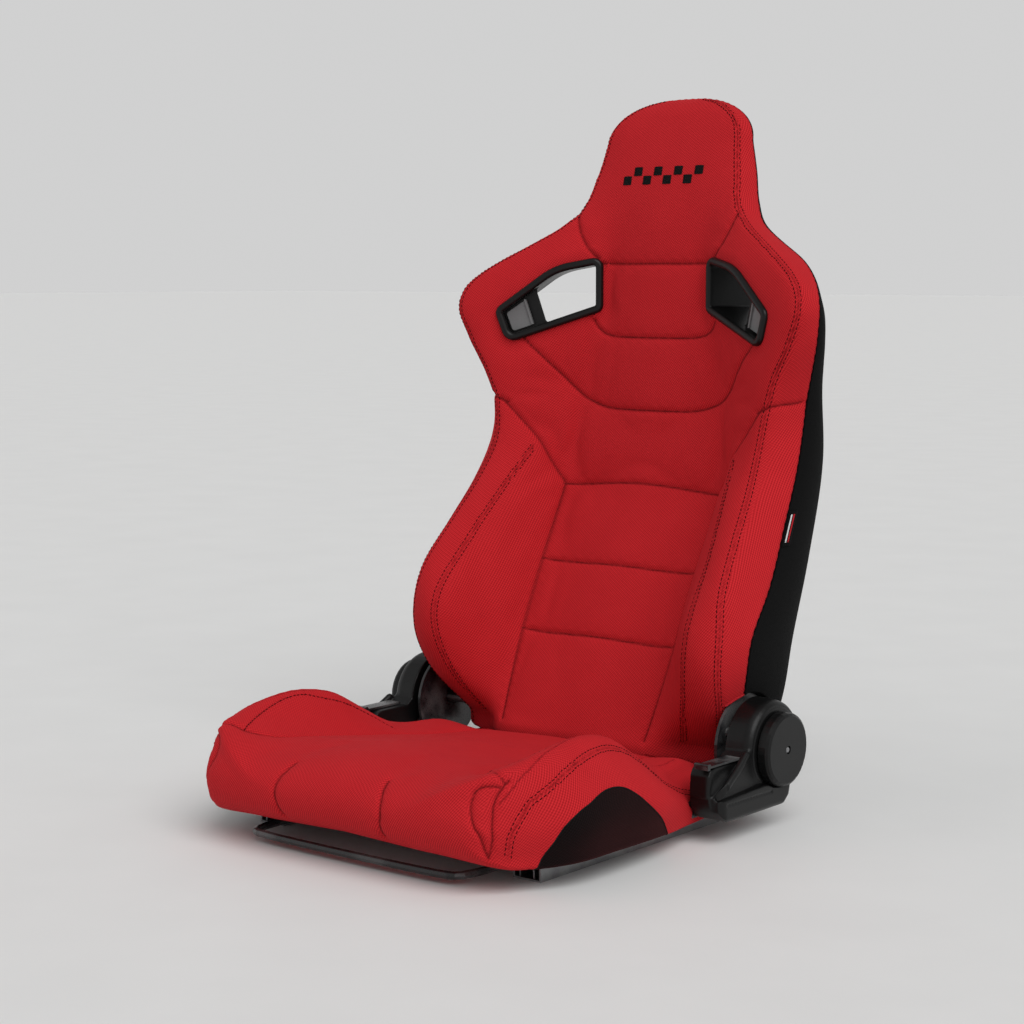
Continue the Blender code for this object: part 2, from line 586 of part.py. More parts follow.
# ---------------------------------------------------------------- backrest frame
def upper_arm(side, word, collection, cutters):
    steel = material("black_steel", BLACK_STEEL)
    pivot = (HINGE_Y, HINGE_Z)
    outline = arc(pivot, ARM_R, 97, 412, 30)
    outline += [(0.1700, 0.170), (0.1880, 0.270), (0.1860, 0.282), (0.1740, 0.285), (0.1580, 0.285),
                (0.1500, 0.278), (0.1270, 0.190)]
    obj = mesh_object(f"recliner_arm_{word}", flip(plate_bm(outline, *ARM_X), side), steel, collection,
                      (0, HINGE_Y, HINGE_Z))
    hole = flip(cylinder_bm(0.23, 0.26, SHAFT_R + 0.0008, *pivot, sides=20), side)
    cut(obj, mesh_object(f"arm_hole_cutter_{word}", hole, material("cutter", GREY_PLASTIC), cutters))
    for number, angle in ((1, 152), (2, 28)):
        (y, z), = arc(pivot, ARM_BOLT_CIRCLE, angle, angle, 1)
        face = ARM_X[1]
        bolt = turned_bm([(face + GAP, 0), (face + GAP, 0.0060), (face + 0.0022, 0.0056),
                          (face + 0.0030, 0.0040), (face + 0.0030, 0)], y, z, 12)
        mesh_object(f"arm_bolt_{word}_{number}", flip(bolt, side), steel, collection, (0, HINGE_Y, HINGE_Z))


def back_frame(collection):
    steel = material("black_steel", BLACK_STEEL)
    upright = [(0.2332, 0.190, 0.175), (0.2332, 0.205, 0.300), (0.2120, 0.260, 0.400),
               (0.1500, 0.3085, 0.500), (0.0740, 0.3200, 0.565), (0.0690, 0.3175, 0.650),
               (0.0660, 0.3270, 0.760), (0.0580, 0.3490, 0.840), (0.0420, 0.3590, 0.876)]
    hoop = upright + [(-x, y, z) for x, y, z in reversed(upright)]
    tube("back_frame_hoop", hoop, FRAME_TUBE_R, steel, collection)
    for name, (reach, y, z) in BACK_TUBES:
        tube(name, [(-reach, y, z), (reach, y, z)], FRAME_TUBE_R, steel, collection, smooth=0)
    for number, (reach, y, z) in enumerate(LUMBAR_SPRINGS, 1):
        route = [(a, y, z + b) for a, b in zigzag(reach, 12, 0.016)]
        tube(f"lumbar_spring_{number}", route, SPRING_R, material("bare_steel", BARE_STEEL), collection,
             resolution=1, smooth=0)
    for side, word in ((1, "left"), (-1, "right")):
        route = [(0.1800, 0.2860, 0.520), (0.2200, 0.2680, 0.550), (0.2500, 0.2470, 0.590),
                 (0.2570, 0.2390, 0.640), (0.2400, 0.2460, 0.672), (0.1930, 0.2760, 0.702),
                 (0.1300, 0.3060, 0.733), (0.0860, 0.3200, 0.745)]
        tube(f"shoulder_wire_{word}", [(side * x, y, z) for x, y, z in route], WING_WIRE_R, steel, collection,
             resolution=1, smooth=1)


def zigzag(reach, teeth, height):
    """Sinuous spring from -reach to reach: (along, across) points."""
    step = 2 * reach / teeth
    out = [(-reach, 0.0)]
    for i in range(teeth):
        sign = 1 if i % 2 else -1
        middle = -reach + step * (i + 0.5)
        out += [(middle - step * 0.32, sign * height), (middle + step * 0.32, sign * height)]
    out.append((reach, 0.0))
    return out


# ---------------------------------------------------------------- recliners
def recliner(side, word, collection, cutters):
    steel = material("black_steel", BLACK_STEEL)
    plastic = material("black_plastic", BLACK_PLASTIC)
    cutter_mat = material("cutter", GREY_PLASTIC)
    pivot = (HINGE_Y, HINGE_Z)
    hub_hole = flip(cylinder_bm(0.2498, 0.2960, HUB_R + 0.0006, *pivot, sides=20), side)
    hub_cutter = mesh_object(f"hub_cutter_{word}", hub_hole, cutter_mat, cutters)

    inner, outer = GEAR_X
    gear = turned_bm([(inner, 0), (inner, GEAR_R - 0.001), (inner + 0.0004, GEAR_R), (outer, GEAR_R),
                      (outer, 0)], *pivot, 32)
    mesh_object(f"recliner_gear_{word}", flip(gear, side), material("bare_steel", BARE_STEEL), collection,
                (0, HINGE_Y, HINGE_Z))

    leg = arc(pivot, 0.036, -10, 190, 18)
    leg += [(0.0600, 0.062), (-0.0080, 0.050), (-0.0120, 0.0285), (0.1440, 0.0285), (0.1500, 0.050)]
    leg_bm = flip(plate_bm(leg, *BRACKET_X), side)
    bracket = mesh_object(f"recliner_bracket_{word}", leg_bm, steel, collection)
    flange = flip(box_bm((PAN_FLANGE_X, 0.004, 0.0290), (BRACKET_X[1] - 0.0005, 0.096, 0.0330)), side)
    cut(bracket, mesh_object(f"bracket_flange_{word}", flange, cutter_mat, cutters), "UNION")
    cut(bracket, hub_cutter)

    cover_parts = recliner_cover_parts(pivot)
    cover = mesh_object(f"recliner_cover_{word}", flip(cover_parts[0], side), plastic, collection)
    for number, bm in enumerate(cover_parts[1:], 1):
        lump = mesh_object(f"cover_lump_{word}_{number}", flip(bm, side), cutter_mat, cutters)
        cut(cover, lump, "UNION")
    pocket = flip(cylinder_bm(0.2400, 0.2885, POCKET_R, *pivot, sides=36), side)
    cut(cover, mesh_object(f"cover_pocket_{word}", pocket, cutter_mat, cutters))
    cut(cover, hub_cutter)
    relief = flip(cylinder_bm(COVER_X[1] + GAP, 0.3100, WHEEL_R + 0.0012, *pivot, sides=36), side)
    cut(cover, mesh_object(f"wheel_relief_{word}", relief, cutter_mat, cutters))

    turns, per_turn, start, end = 3, 12, 0.015, POCKET_R - 0.0045
    route = []
    for k in range(turns * per_turn + 1):
        angle, radius = 360 * k / per_turn, start + (end - start) * k / (turns * per_turn)
        (y, z), = arc(pivot, radius, angle, angle, 1)
        route.append((side * 0.2665, y, z))
    tube(f"recline_spring_{word}", route, 0.0026, material("bare_steel", BARE_STEEL), collection,
         resolution=1, smooth=0)

    back, face = WHEEL_X
    hub, recess = BRACKET_X[0] + GAP, face - 0.004
    wheel = turned_bm([(hub, 0), (hub, HUB_R), (back, HUB_R), (back, WHEEL_R - 0.003),
                       (back + 0.002, WHEEL_R), (face - 0.0055, WHEEL_R),
                       (face - 0.0020, WHEEL_R - 0.0012), (face, WHEEL_R - 0.0045),
                       (face, 0.0052), (recess, 0.0052), (recess, 0)], *pivot, 32)
    mesh_object(f"hand_wheel_{word}", flip(wheel, side), plastic, collection, (0, HINGE_Y, HINGE_Z))
    screw = turned_bm([(recess + GAP, 0), (recess + GAP, 0.0046), (face - 0.0018, 0.0044),
                       (face - 0.0008, 0.0030), (face - 0.0008, 0)], *pivot, 12)
    mesh_object(f"wheel_screw_{word}", flip(screw, side), material("bare_steel", BARE_STEEL), collection,
                (0, HINGE_Y, HINGE_Z))

    outline = [(-0.0205, 0.0955), (-0.0155, 0.0950), (-0.0145, 0.0975), (0.0500, 0.0975), (0.0515, 0.0990),
               (0.0500, 0.1002), (-0.0130, 0.1002), (-0.0150, 0.1030), (-0.0195, 0.1030), (-0.0208, 0.1018)]
    mesh_object(f"release_lever_{word}", flip(plate_bm(outline, *RELEASE_X), side), steel, collection,
                (0, *LEVER_PIVOT))


def recliner_cover_parts(pivot):
    """The overlapping lumps that make up one recliner cover, on the +X side."""
    inner, face = COVER_X
    body = plate_bm([(0.0040, 0.0270), (-0.0090, 0.0340), (-0.0140, 0.0480), (-0.0130, 0.0850),
                     (-0.0080, 0.0940), (0.0020, 0.0968), (0.0560, 0.0968), (0.0900, 0.0900),
                     (0.1500, 0.0600), (0.1480, 0.0400), (0.1340, 0.0270)], inner, COVER_BODY_X)
    bell = turned_bm([(inner, 0), (inner, BELL_R + 0.0010), (face - 0.0110, BELL_R),
                      (face - 0.0050, BELL_R - 0.0020), (face - 0.0015, BELL_R - 0.0050),
                      (face, BELL_R - 0.0090), (face, 0)], *pivot, 48)
    web = plate_bm([(-0.0060, 0.0300), (-0.0100, 0.0590), (0.0200, 0.0740), (0.0680, 0.1080),
                    (0.1240, 0.1200), (0.1450, 0.0560), (0.1330, 0.0310)], inner, COVER_WEB_X)
    ledge = plate_bm([(0.0020, 0.0275), (-0.0070, 0.0330), (-0.0080, 0.0560), (0.0820, 0.0600),
                      (0.1440, 0.0610), (0.1500, 0.0540), (0.1460, 0.0380), (0.1330, 0.0275)],
                     inner, COVER_LEDGE_X)
    for bm, size in ((body, 0.0050), (web, 0.0030), (ledge, 0.0035)):
        outer_x = max(v.co.x for v in bm.verts)
        edges = [e for e in bm.edges if all(abs(v.co.x - outer_x) < 1e-6 for v in e.verts)]
        bmesh.ops.bevel(bm, geom=edges, offset=size, segments=2, affect="EDGES", profile=0.5)
    return body, bell, web, ledge


# ---------------------------------------------------------------- seat base
def bar_along_y(profile, y_low, y_high):
    return loft([[(x, y, z) for x, z in profile] for y in (y_low, y_high)])


def slider_and_pan(side, word, collection, cutters):
    steel = material("black_steel", BLACK_STEEL)
    bare = material("bare_steel", BARE_STEEL)
    x = RAIL_X * side
    wide, high, wall = LOWER_RAIL[0] / 2, LOWER_RAIL[1], LOWER_RAIL[2]
    channel = [(-wide, 0), (wide, 0), (wide, high), (wide - wall, high), (wide - wall, wall),
               (wall - wide, wall), (wall - wide, high), (-wide, high)]
    channel_bm = bar_along_y([(x + a, b) for a, b in channel], RAIL_FRONT_Y, RAIL_REAR_Y)
    lower = mesh_object(f"lower_rail_{word}", channel_bm, bare, collection)
    for end, y in (("front", RAIL_FRONT_Y + BOLT_HOLE[1]), ("rear", RAIL_REAR_Y - BOLT_HOLE[1])):
        hole = bmesh.new()
        bmesh.ops.create_cone(hole, cap_ends=True, segments=20, radius1=BOLT_HOLE[0], radius2=BOLT_HOLE[0],
                              depth=0.01, matrix=Matrix.Translation((x, y, 0)))
        cut(lower, mesh_object(f"bolt_hole_{word}_{end}", hole, material("cutter", GREY_PLASTIC), cutters))
    wide, high, low = UPPER_RAIL[0] / 2, UPPER_RAIL[1], UPPER_RAIL[2]
    hat = [(-wide, low), (wall - wide, low), (wall - wide, high - wall), (wide - wall, high - wall),
           (wide - wall, low), (wide, low), (wide, high), (-wide, high)]
    hat_bm = bar_along_y([(x + a, b) for a, b in hat], RAIL_FRONT_Y, RAIL_REAR_Y)
    mesh_object(f"upper_rail_{word}", hat_bm, bare, collection)
    wide, low, high = PAN_RAIL[0] / 2, PAN_RAIL[1], PAN_RAIL[2]
    rail = box_bm((x - wide, PAN_RAIL_Y[0], low), (x + wide, PAN_RAIL_Y[1], high), 0.0025)
    mesh_object(f"pan_rail_{word}", rail, steel, collection)


def seat_base(collection):
    steel = material("black_steel", BLACK_STEEL)
    reach = RAIL_X - PAN_RAIL[0] / 2 - GAP
    for name, y in CROSS_TUBES:
        ends = [(-reach, y, CROSS_TUBE_Z), (reach, y, CROSS_TUBE_Z)]
        tube(name, ends, CROSS_TUBE_R, steel, collection, smooth=0)
    number = 0
    for side in (-1, 1):
        for x in SEAT_SPRING_X:
            number += 1
            route = [(side * x + b, a + SEAT_SPRING_Y, SEAT_SPRING_Z) for a, b in zigzag(0.172, 12, 0.018)]
            tube(f"seat_spring_{number}", route, SPRING_R, material("bare_steel", BARE_STEEL), collection,
                 resolution=1, smooth=0)
    bar = [(x, y, RELEASE_BAR_Z) for x, y in RELEASE_BAR]
    mirrored = [(-x, y, z) for x, y, z in reversed(bar)]
    tube("slider_release_bar", bar + mirrored, RELEASE_BAR_R, steel, collection)


def main():
    clear_scene()
    seat = new_collection("racing_seat")
    cutters = new_collection("cutters")
    seat_cushion(seat, cutters)
    back_cushion(seat, cutters)
    rear_cover(seat, cutters)
    back_frame(seat)
    seat_base(seat)
    shaft = cylinder_bm(-GEAR_X[0] + GAP, GEAR_X[0] - GAP, SHAFT_R, HINGE_Y, HINGE_Z, 20)
    mesh_object("recliner_cross_shaft", shaft, material("bare_steel", BARE_STEEL), seat,
                (0, HINGE_Y, HINGE_Z))
    for side, word in ((1, "left"), (-1, "right")):
        harness_trim(side, word, seat, cutters)
        shoulder_lever(side, word, seat, cutters)
        upper_arm(side, word, seat, cutters)
        recliner(side, word, seat, cutters)
        slider_and_pan(side, word, seat, cutters)


main()
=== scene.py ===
"""Looks of the reclining sports seat: sewn cloth over foam, stitching, trim, recliners, light and camera.

Metres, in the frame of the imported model: the seat faces -Y, +X is the occupant's left, Z = 0 is the floor.
"""

import json
import math

import bmesh
import bpy
import numpy as np
from mathutils import Matrix, Vector
from mathutils.bvhtree import BVHTree
from mathutils.kdtree import KDTree


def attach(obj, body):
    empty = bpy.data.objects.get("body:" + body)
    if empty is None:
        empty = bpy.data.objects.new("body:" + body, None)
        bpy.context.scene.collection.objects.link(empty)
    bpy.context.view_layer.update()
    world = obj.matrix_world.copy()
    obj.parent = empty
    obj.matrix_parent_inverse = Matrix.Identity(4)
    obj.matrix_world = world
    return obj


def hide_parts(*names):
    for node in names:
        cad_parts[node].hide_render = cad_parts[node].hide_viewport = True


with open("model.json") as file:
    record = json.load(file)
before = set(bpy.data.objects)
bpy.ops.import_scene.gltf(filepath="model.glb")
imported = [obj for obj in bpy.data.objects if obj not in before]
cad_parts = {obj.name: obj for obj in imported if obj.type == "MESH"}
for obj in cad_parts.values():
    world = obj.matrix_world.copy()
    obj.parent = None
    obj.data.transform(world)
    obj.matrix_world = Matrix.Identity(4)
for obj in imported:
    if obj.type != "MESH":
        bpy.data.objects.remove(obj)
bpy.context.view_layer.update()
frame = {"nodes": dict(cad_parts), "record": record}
FINE = 2      # subdivision of the upholstery
SIDES = ((1, "left"), (-1, "right"))

# ---------------------------------------------------------------- dimensions
# They are the CAD model's, apart from two places where the cloth stands up to about 2 cm further out, inside the
# CAD model's box: the edges of the wings and the head, and the lower side of the cushion beside the recliners.
HINGE_Y, HINGE_Z = 0.124, 0.100
CUSHION_REAR_Y, CUSHION_ROLL_Y, CUSHION_NOSE_Y, CUSHION_ROLL_Z = 0.072, -0.306, -0.381, 0.078
NOSE_TAPER = (-0.235, 0.035)      # the cushion narrows by this share between this y and the roll's start
ROLL_NARROWING = (0.06, 0.15)     # further shares: one eases in with the reach, one with the turn
ROLL_BOW, ROLL_BOW_X = 0.12, 0.28  # the nose stands back by this share of the roll, this far from the middle
HOLLOW_X, HOLLOW_FRONT_Y, HOLLOW_Z = 0.232, -0.300, 0.0556
PAD_FOOT_Z, BACK_FOOT_Z, BACK_CROWN_Z, BACK_TOP_Z, BACK_CREST_Y = 0.070, 0.085, 0.865, 0.925, 0.352
CROWN_ROUNDNESS = 0.86
NOTCH_X, NOTCH_R = 0.2408, 0.0645
OPENING_X, OPENING_Y = 0.0865, 0.2705     # origin of the plane of a harness opening
OPENING_COS, OPENING_SIN = math.cos(math.radians(26.5)), math.sin(math.radians(26.5))     # and its turn about Z
OPENING_CORNERS = ((0.0, 0.6365), (0.137, 0.5905), (0.1545, 0.638), (0.070, 0.699), (0.0, 0.712))
OPENING_RADII = (0.012, 0.018, 0.013, 0.100, 0.014)
SLEEVE_DEPTH, BEZEL_WIDTH, SLEEVE_WALL = 0.061, 0.0105, 0.003
HOUSING_EDGE = ((0.0915, 0.6716), (0.0923, 0.6699), (0.0955, 0.6659), (0.0953, 0.6607), (0.0834, 0.6238),
                (0.0816, 0.6213), (0.0784, 0.6213), (0.0777, 0.6199))   # plate behind the lever, (s, z)
HOUSING_DEPTH = (0.0108, 0.0133)
PAD_AT_OPENING, COVER_AT_OPENING = 0.0012, SLEEVE_DEPTH - 0.001    # depth of the cloth round an opening
PAD_DEPTHS, COVER_DEPTHS = (-0.05, 0.03), (0.02, 0.10)             # depths between which that cloth is moved
PAD_REACH, COVER_REACH = (0.034, 0.020), (0.040, 0.012)            # how far out, before and after subdividing
PAD_CUT, COVER_CUT = (-0.05, 0.14), (0.0, 0.14)                    # depths between which it is cut away inside

# Lines of the backrest's half section, each a list of (z, x, y).
BACK_CENTRE = [(.085, 0, .080), (.208, 0, .140), (.30, 0, .185), (.40, 0, .236), (.46, 0, .253),
               (.505, 0, .255), (.60, 0, .263), (.711, 0, .271), (.764, 0, .276), (.82, 0, .289),
               (.87, 0, .304)]
BACK_PANEL = [(.085, .118, .082), (.208, .124, .141), (.30, .125, .186), (.40, .127, .240),
              (.46, .125, .255), (.518, .112, .264), (.60, .100, .266), (.711, .085, .273),
              (.764, .080, .278), (.82, .075, .290), (.87, .070, .305)]
BACK_RIDGE = [(.085, .160, .116), (.15, .190, .069), (.247, .206, .052), (.33, .196, .114),
              (.40, .180, .172), (.462, .164, .223), (.515, .165, .236), (.56, .165, .232),
              (.60, .172, .226), (.645, .178, .226), (.69, .165, .236), (.73, .135, .256),
              (.764, .112, .272), (.82, .096, .291), (.87, .090, .306)]
BACK_OUTER = [(.085, .205, .129), (.15, .238, .079), (.19, .247, .061), (.25, .250, .060),
              (.29, .245, .071), (.35, .233, .116), (.41, .222, .165), (.46, .216, .194),
              (.515, .223, .202), (.553, .236, .198), (.60, .261, .193), (.647, .277, .189),
              (.675, .267, .199), (.70, .236, .216), (.725, .195, .239), (.75, .155, .261),
              (.77, .133, .274), (.82, .115, .295), (.87, .105, .309)]
BACK_EDGE = [(.085, .232, .159), (.155, .251, .116), (.195, .265, .101), (.235, .272, .100),
             (.295, .270, .143), (.367, .263, .187), (.441, .257, .227), (.525, .256, .249),
             (.617, .288, .221), (.65, .289, .221), (.68, .271, .239), (.705, .240, .261),
             (.73, .194, .280), (.75, .161, .294), (.78, .139, .312), (.82, .128, .323),
             (.87, .118, .326)]
BACK_CORNER = [(.085, .235, .199), (.15, .245, .217), (.22, .255, .221), (.32, .252, .262),
               (.45, .248, .302), (.55, .255, .286), (.60, .274, .259), (.64, .278, .248),
               (.667, .263, .253), (.69, .243, .266), (.71, .208, .288), (.74, .153, .316),
               (.78, .115, .335), (.82, .103, .343), (.87, .090, .345)]
BACK_REAR = [(.085, .14, .204), (.15, .15, .226), (.25, .15, .269), (.35, .15, .306), (.45, .15, .327),
             (.55, .15, .326), (.65, .15, .314), (.70, .14, .316), (.75, .09, .342), (.82, .06, .370),
             (.87, .055, .372)]
BACK_SPINE = [(.085, 0, .204), (.15, 0, .228), (.25, 0, .274), (.35, 0, .314), (.45, 0, .336),
              (.55, 0, .342), (.65, 0, .342), (.70, 0, .344), (.75, 0, .352), (.82, 0, .373),
              (.87, 0, .378)]
PAD_FRONT = (BACK_CENTRE, BACK_PANEL, BACK_RIDGE, BACK_OUTER, BACK_EDGE)
PAD_THICKNESS = [(.085, .030), (.20, .044), (.50, .040), (.70, .034), (.87, .036)]

# Lines of the seat cushion's half section, each a list of (y, x, z).
SEAT_CENTRE = [(-.306, 0, .127), (-.256, 0, .121), (-.156, 0, .108), (-.036, 0, .093), (.064, 0, .082),
               (.134, 0, .080)]
SEAT_VALLEY = [(-.306, .165, .123), (-.256, .158, .117), (-.156, .150, .103), (-.036, .145, .086),
               (.064, .140, .078), (.134, .135, .077)]
SEAT_RIDGE = [(-.306, .234, .143), (-.256, .230, .153), (-.186, .225, .158), (-.136, .222, .148),
              (-.086, .221, .121), (-.036, .220, .093), (-.006, .214, .087), (.034, .205, .086),
              (.134, .180, .080)]
SEAT_SEAM = [(-.306, .252, .125), (-.256, .252, .138), (-.176, .246, .146), (-.136, .244, .134),
             (-.086, .242, .108), (-.036, .234, .080), (-.006, .226, .073), (.034, .218, .073),
             (.134, .195, .070)]
SEAT_SIDE = [(-.306, .272, .075), (-.266, .284, .077), (-.176, .288, .085), (-.086, .278, .070),
             (-.046, .264, .060), (-.016, .254, .052), (.034, .248, .050), (.134, .222, .052)]
SEAT_HEM = [(-.306, .255, .025), (-.266, .270, .026), (-.176, .277, .026), (-.086, .270, .023),
            (-.046, .263, .021), (-.016, .256, .020), (.034, .250, .020), (.134, .225, .024)]
SEAT_FLOOR = [(-.306, .130, .030), (-.176, .13, .034), (.134, .10, .040)]
SEAT_KEEL = [(-.306, 0, .034), (-.176, 0, .034), (.134, 0, .040)]
SEAT_TOP = (SEAT_CENTRE, SEAT_VALLEY, SEAT_RIDGE, SEAT_SEAM, SEAT_SIDE, SEAT_HEM)

# ---------------------------------------------------------------- dimensions of the sewing
CELL = 0.0070                 # spacing of the upholstery's mesh before subdivision
LAY_STEP = 0.0015             # spacing of the points along a seam
SEAM_DEPTH, SEAM_WIDTH = 0.0026, 0.0036       # groove of a plain seam
DIP_DEPTH, DIP_WIDTH = 0.0012, 0.011          # and the wider dip round it
FELL_DEPTH, FELL_WIDTH = 0.0014, 0.0017       # groove between two rows of stitches
FOLD_RISE, FOLD_WIDTH = 0.0007, 0.0016        # the folded cloth stands up on both sides of that groove
DENT_DEPTH, DENT_WIDTH = 0.0005, 0.0012       # dent under a row of stitches
PUCKER_WIDTH = 0.006                          # puckers lie beside a seam, this wide
PLAIN_PUCKER, FELL_PUCKER = (0.00035, 0.006), (0.0002, 0.007)     # their depth and their distance from the seam
PUCKER_WAVES = np.array([310.0, 270.0, 350.0]), np.array([-190.0, 410.0, 230.0])
STITCH_PITCH, STITCH_LENGTH, STITCH_R = 0.0062, 0.0044, 0.00058
STITCH_OFFSET = 0.0042        # each row of a double seam lies this far from the seam
TRIM_MARGIN = 0.0035          # the cloth's cut edge lies this far inside the trim that hides it
SEAM_HOLD, EDGE_HOLD = 0.0065, 0.012          # the cloth simulation holds the cloth this near a seam or the edge
OPENING_HOLD = (0.006, 0.016) # and fades out between these distances from an opening
BEHIND_HOLD, BEHIND_X = 0.022, 0.2            # it holds the pad's hidden rear, this far behind its middle line
CROWN_HOLD_Z = 0.90           # and the top of the head
PRESS_FRAMES, PRESS_LEVELS = 16, 20           # length of the simulation, and steps of its hold
BACK_SWELL, SEAT_SWELL = 0.007, 0.008         # no point moves further than this in it
PRESS = {"quality": 5, "mass": 0.15, "tension_stiffness": 12, "compression_stiffness": 12, "shear_stiffness": 6,
         "bending_stiffness": 0.8, "tension_damping": 12, "compression_damping": 12, "air_damping": 4,
         "vertex_group_mass": "hold", "pin_stiffness": 2.0, "use_pressure": True, "uniform_pressure_force": 3.0}
MIRROR = np.array([-1, 1, 1])


# ---------------------------------------------------------------- curves and sections
def sample(keys, at):
    """Smooth curve through keys (t, a, b, ...), read at the values in at."""
    table = np.array(keys, float)
    t, value = table[:, 0], table[:, 1:]
    step = np.diff(t)[:, None]
    slope = np.diff(value, axis=0) / step
    tangent = np.zeros_like(value)
    tangent[1:-1] = (slope[:-1] * step[1:] + slope[1:] * step[:-1]) / (step[1:] + step[:-1])
    tangent[0], tangent[-1] = slope[0], slope[-1]
    at = np.atleast_1d(np.asarray(at, float))
    i = np.clip(np.searchsorted(t, at, side="right") - 1, 0, len(t) - 2)
    width = (t[i + 1] - t[i])[:, None]
    s = np.clip((at - t[i]) / (t[i + 1] - t[i]), 0, 1)[:, None]
    start = (1 + 2 * s) * (1 - s) ** 2 * value[i] + s * (1 - s) ** 2 * width * tangent[i]
    return start + s * s * (3 - 2 * s) * value[i + 1] - s * s * (1 - s) * width * tangent[i + 1]


def smooth_section(points, spans, mirror_end=True):
    """Catmull-Rom curve through a half section's points (rows, count, 3), with the given count in each span."""
    last = points[:, -2:-1] * MIRROR if mirror_end else 2 * points[:, -1:] - points[:, -2:-1]
    extended = np.concatenate([points[:, 1:2] * MIRROR, points, last], axis=1)
    knots = np.linalg.norm(np.diff(extended, axis=1), axis=2) ** 0.5 + 1e-9
    columns = []
    for i, count in enumerate(spans):
        p0, p1, p2, p3 = (extended[:, i + k] for k in range(4))
        d0, d1, d2 = (knots[:, i + k][:, None] for k in range(3))
        m1 = (p2 - p1) + d1 * ((p1 - p0) / d0 - (p2 - p0) / (d0 + d1))
        m2 = (p2 - p1) + d1 * ((p3 - p2) / d2 - (p3 - p1) / (d1 + d2))
        for k in range(count):
            s = k / count
            start = (1 + 2 * s) * (1 - s) ** 2 * p1 + s * (1 - s) ** 2 * m1
            columns.append(start + s * s * (3 - 2 * s) * p2 - s * s * (1 - s) * m2)
    columns.append(points[:, len(spans)])
    return np.stack(columns, axis=1)


def lines_at(lines, at, along):
    """Points (rows, lines, 3) of section lines; along is the axis that the lines run on, 1 for Y or 2 for Z."""
    points = np.zeros((len(at), len(lines), 3))
    for j, keys in enumerate(lines):
        value = sample(keys, at)
        points[:, j, 0] = value[:, 0]
        points[:, j, 3 - along] = value[:, 1]
        points[:, j, along] = at
    return points


def mirrored_rings(halves):
    """Closed rings from half sections that start and end on X = 0."""
    return np.concatenate([halves, halves[:, 1:-1][:, ::-1] * MIRROR], axis=1)


def smooth_step(value, low, high):
    """0 up to low and 1 from high on, with a soft curve between."""
    t = np.clip((value - low) / (high - low), 0, 1)
    return t * t * (3 - 2 * t)


def bell(distance, width, centre=0.0):
    """1 at the centre, fading out at about twice the width from it."""
    return np.exp(-((distance - centre) / width) ** 2)


def spline(waypoints, step=LAY_STEP):
    """Points about every step metres on a smooth curve through the waypoints."""
    points = np.array(waypoints, float)
    padded = np.concatenate([2 * points[:1] - points[1:2], points, 2 * points[-1:] - points[-2:-1]])
    out = []
    for p0, p1, p2, p3 in zip(padded, padded[1:], padded[2:], padded[3:]):
        count = max(2, int(np.linalg.norm(p2 - p1) / step))
        s = (np.arange(count) / count)[:, None]
        out.append(0.5 * (2 * p1 + (p2 - p0) * s + (2 * p0 - 5 * p1 + 4 * p2 - p3) * s ** 2
                          + (3 * p1 - p0 - 3 * p2 + p3) * s ** 3))
    return np.concatenate(out + [points[-1:]])


# ---------------------------------------------------------------- meshes
def vectors(items, name):
    flat = np.zeros(len(items) * 3, np.float32)
    items.foreach_get(name, flat)
    return flat.reshape(-1, 3).astype(float)


def coords(obj):
    return vectors(obj.data.vertices, "co")


def set_coords(obj, points):
    obj.data.vertices.foreach_set("co", np.ascontiguousarray(points, np.float32).ravel())
    obj.data.update()


def normals(obj):
    return vectors(obj.data.vertex_normals, "vector")


def finish_object(name, mesh, mat, angle=None):
    """A smooth-shaded object of a mesh; edges sharper than the angle, if given, stay sharp."""
    mesh.materials.append(mat)
    mesh.shade_smooth()
    if angle is not None:
        mesh.set_sharp_from_angle(angle=math.radians(angle))
    obj = bpy.data.objects.new(name, mesh)
    bpy.context.scene.collection.objects.link(obj)
    return obj


def bm_object(name, bm, mat, angle=35):
    bmesh.ops.remove_doubles(bm, verts=bm.verts, dist=1e-6)
    bmesh.ops.recalc_face_normals(bm, faces=bm.faces)
    mesh = bpy.data.meshes.new(name)
    bm.to_mesh(mesh)
    bm.free()
    return finish_object(name, mesh, mat, angle)


def apply_modifiers(obj):
    """Replace an object's mesh with its evaluated one and drop its modifiers."""
    evaluated = obj.evaluated_get(bpy.context.evaluated_depsgraph_get())
    mesh = bpy.data.meshes.new_from_object(evaluated, preserve_all_data_layers=True,
                                           depsgraph=bpy.context.evaluated_depsgraph_get())
    old = obj.data
    obj.modifiers.clear()
    obj.data = mesh
    bpy.data.meshes.remove(old)


def subdivide(obj, levels):
    modifier = obj.modifiers.new("fine", "SUBSURF")
    modifier.levels = modifier.render_levels = levels
    apply_modifiers(obj)


def grid_faces(rows, columns, closed=True):
    """Quads of a grid of rows x columns vertices; closed joins the last column to the first."""
    i = np.arange(rows - 1)[:, None]
    j = np.arange(columns if closed else columns - 1)[None, :]
    k = (j + 1) % columns
    quads = np.stack([i * columns + j, i * columns + k, (i + 1) * columns + k, (i + 1) * columns + j], axis=-1)
    return quads.reshape(-1, 4).tolist()


def skin(name, rings, mat, caps):
    """Object from closed rings, with the given extra cap faces."""
    rows, columns = rings.shape[:2]
    mesh = bpy.data.meshes.new(name)
    mesh.from_pydata(rings.reshape(-1, 3).tolist(), [], grid_faces(rows, columns) + caps)
    obj = finish_object(name, mesh, mat)
    bm = bmesh.new()
    bm.from_mesh(mesh)
    bmesh.ops.remove_doubles(bm, verts=bm.verts, dist=1e-6)
    bmesh.ops.recalc_face_normals(bm, faces=bm.faces)
    bm.to_mesh(mesh)
    bm.free()
    return obj


def tree_of(obj):
    bm = bmesh.new()
    bm.from_mesh(obj.data)
    tree = BVHTree.FromBMesh(bm)
    bm.free()
    return tree


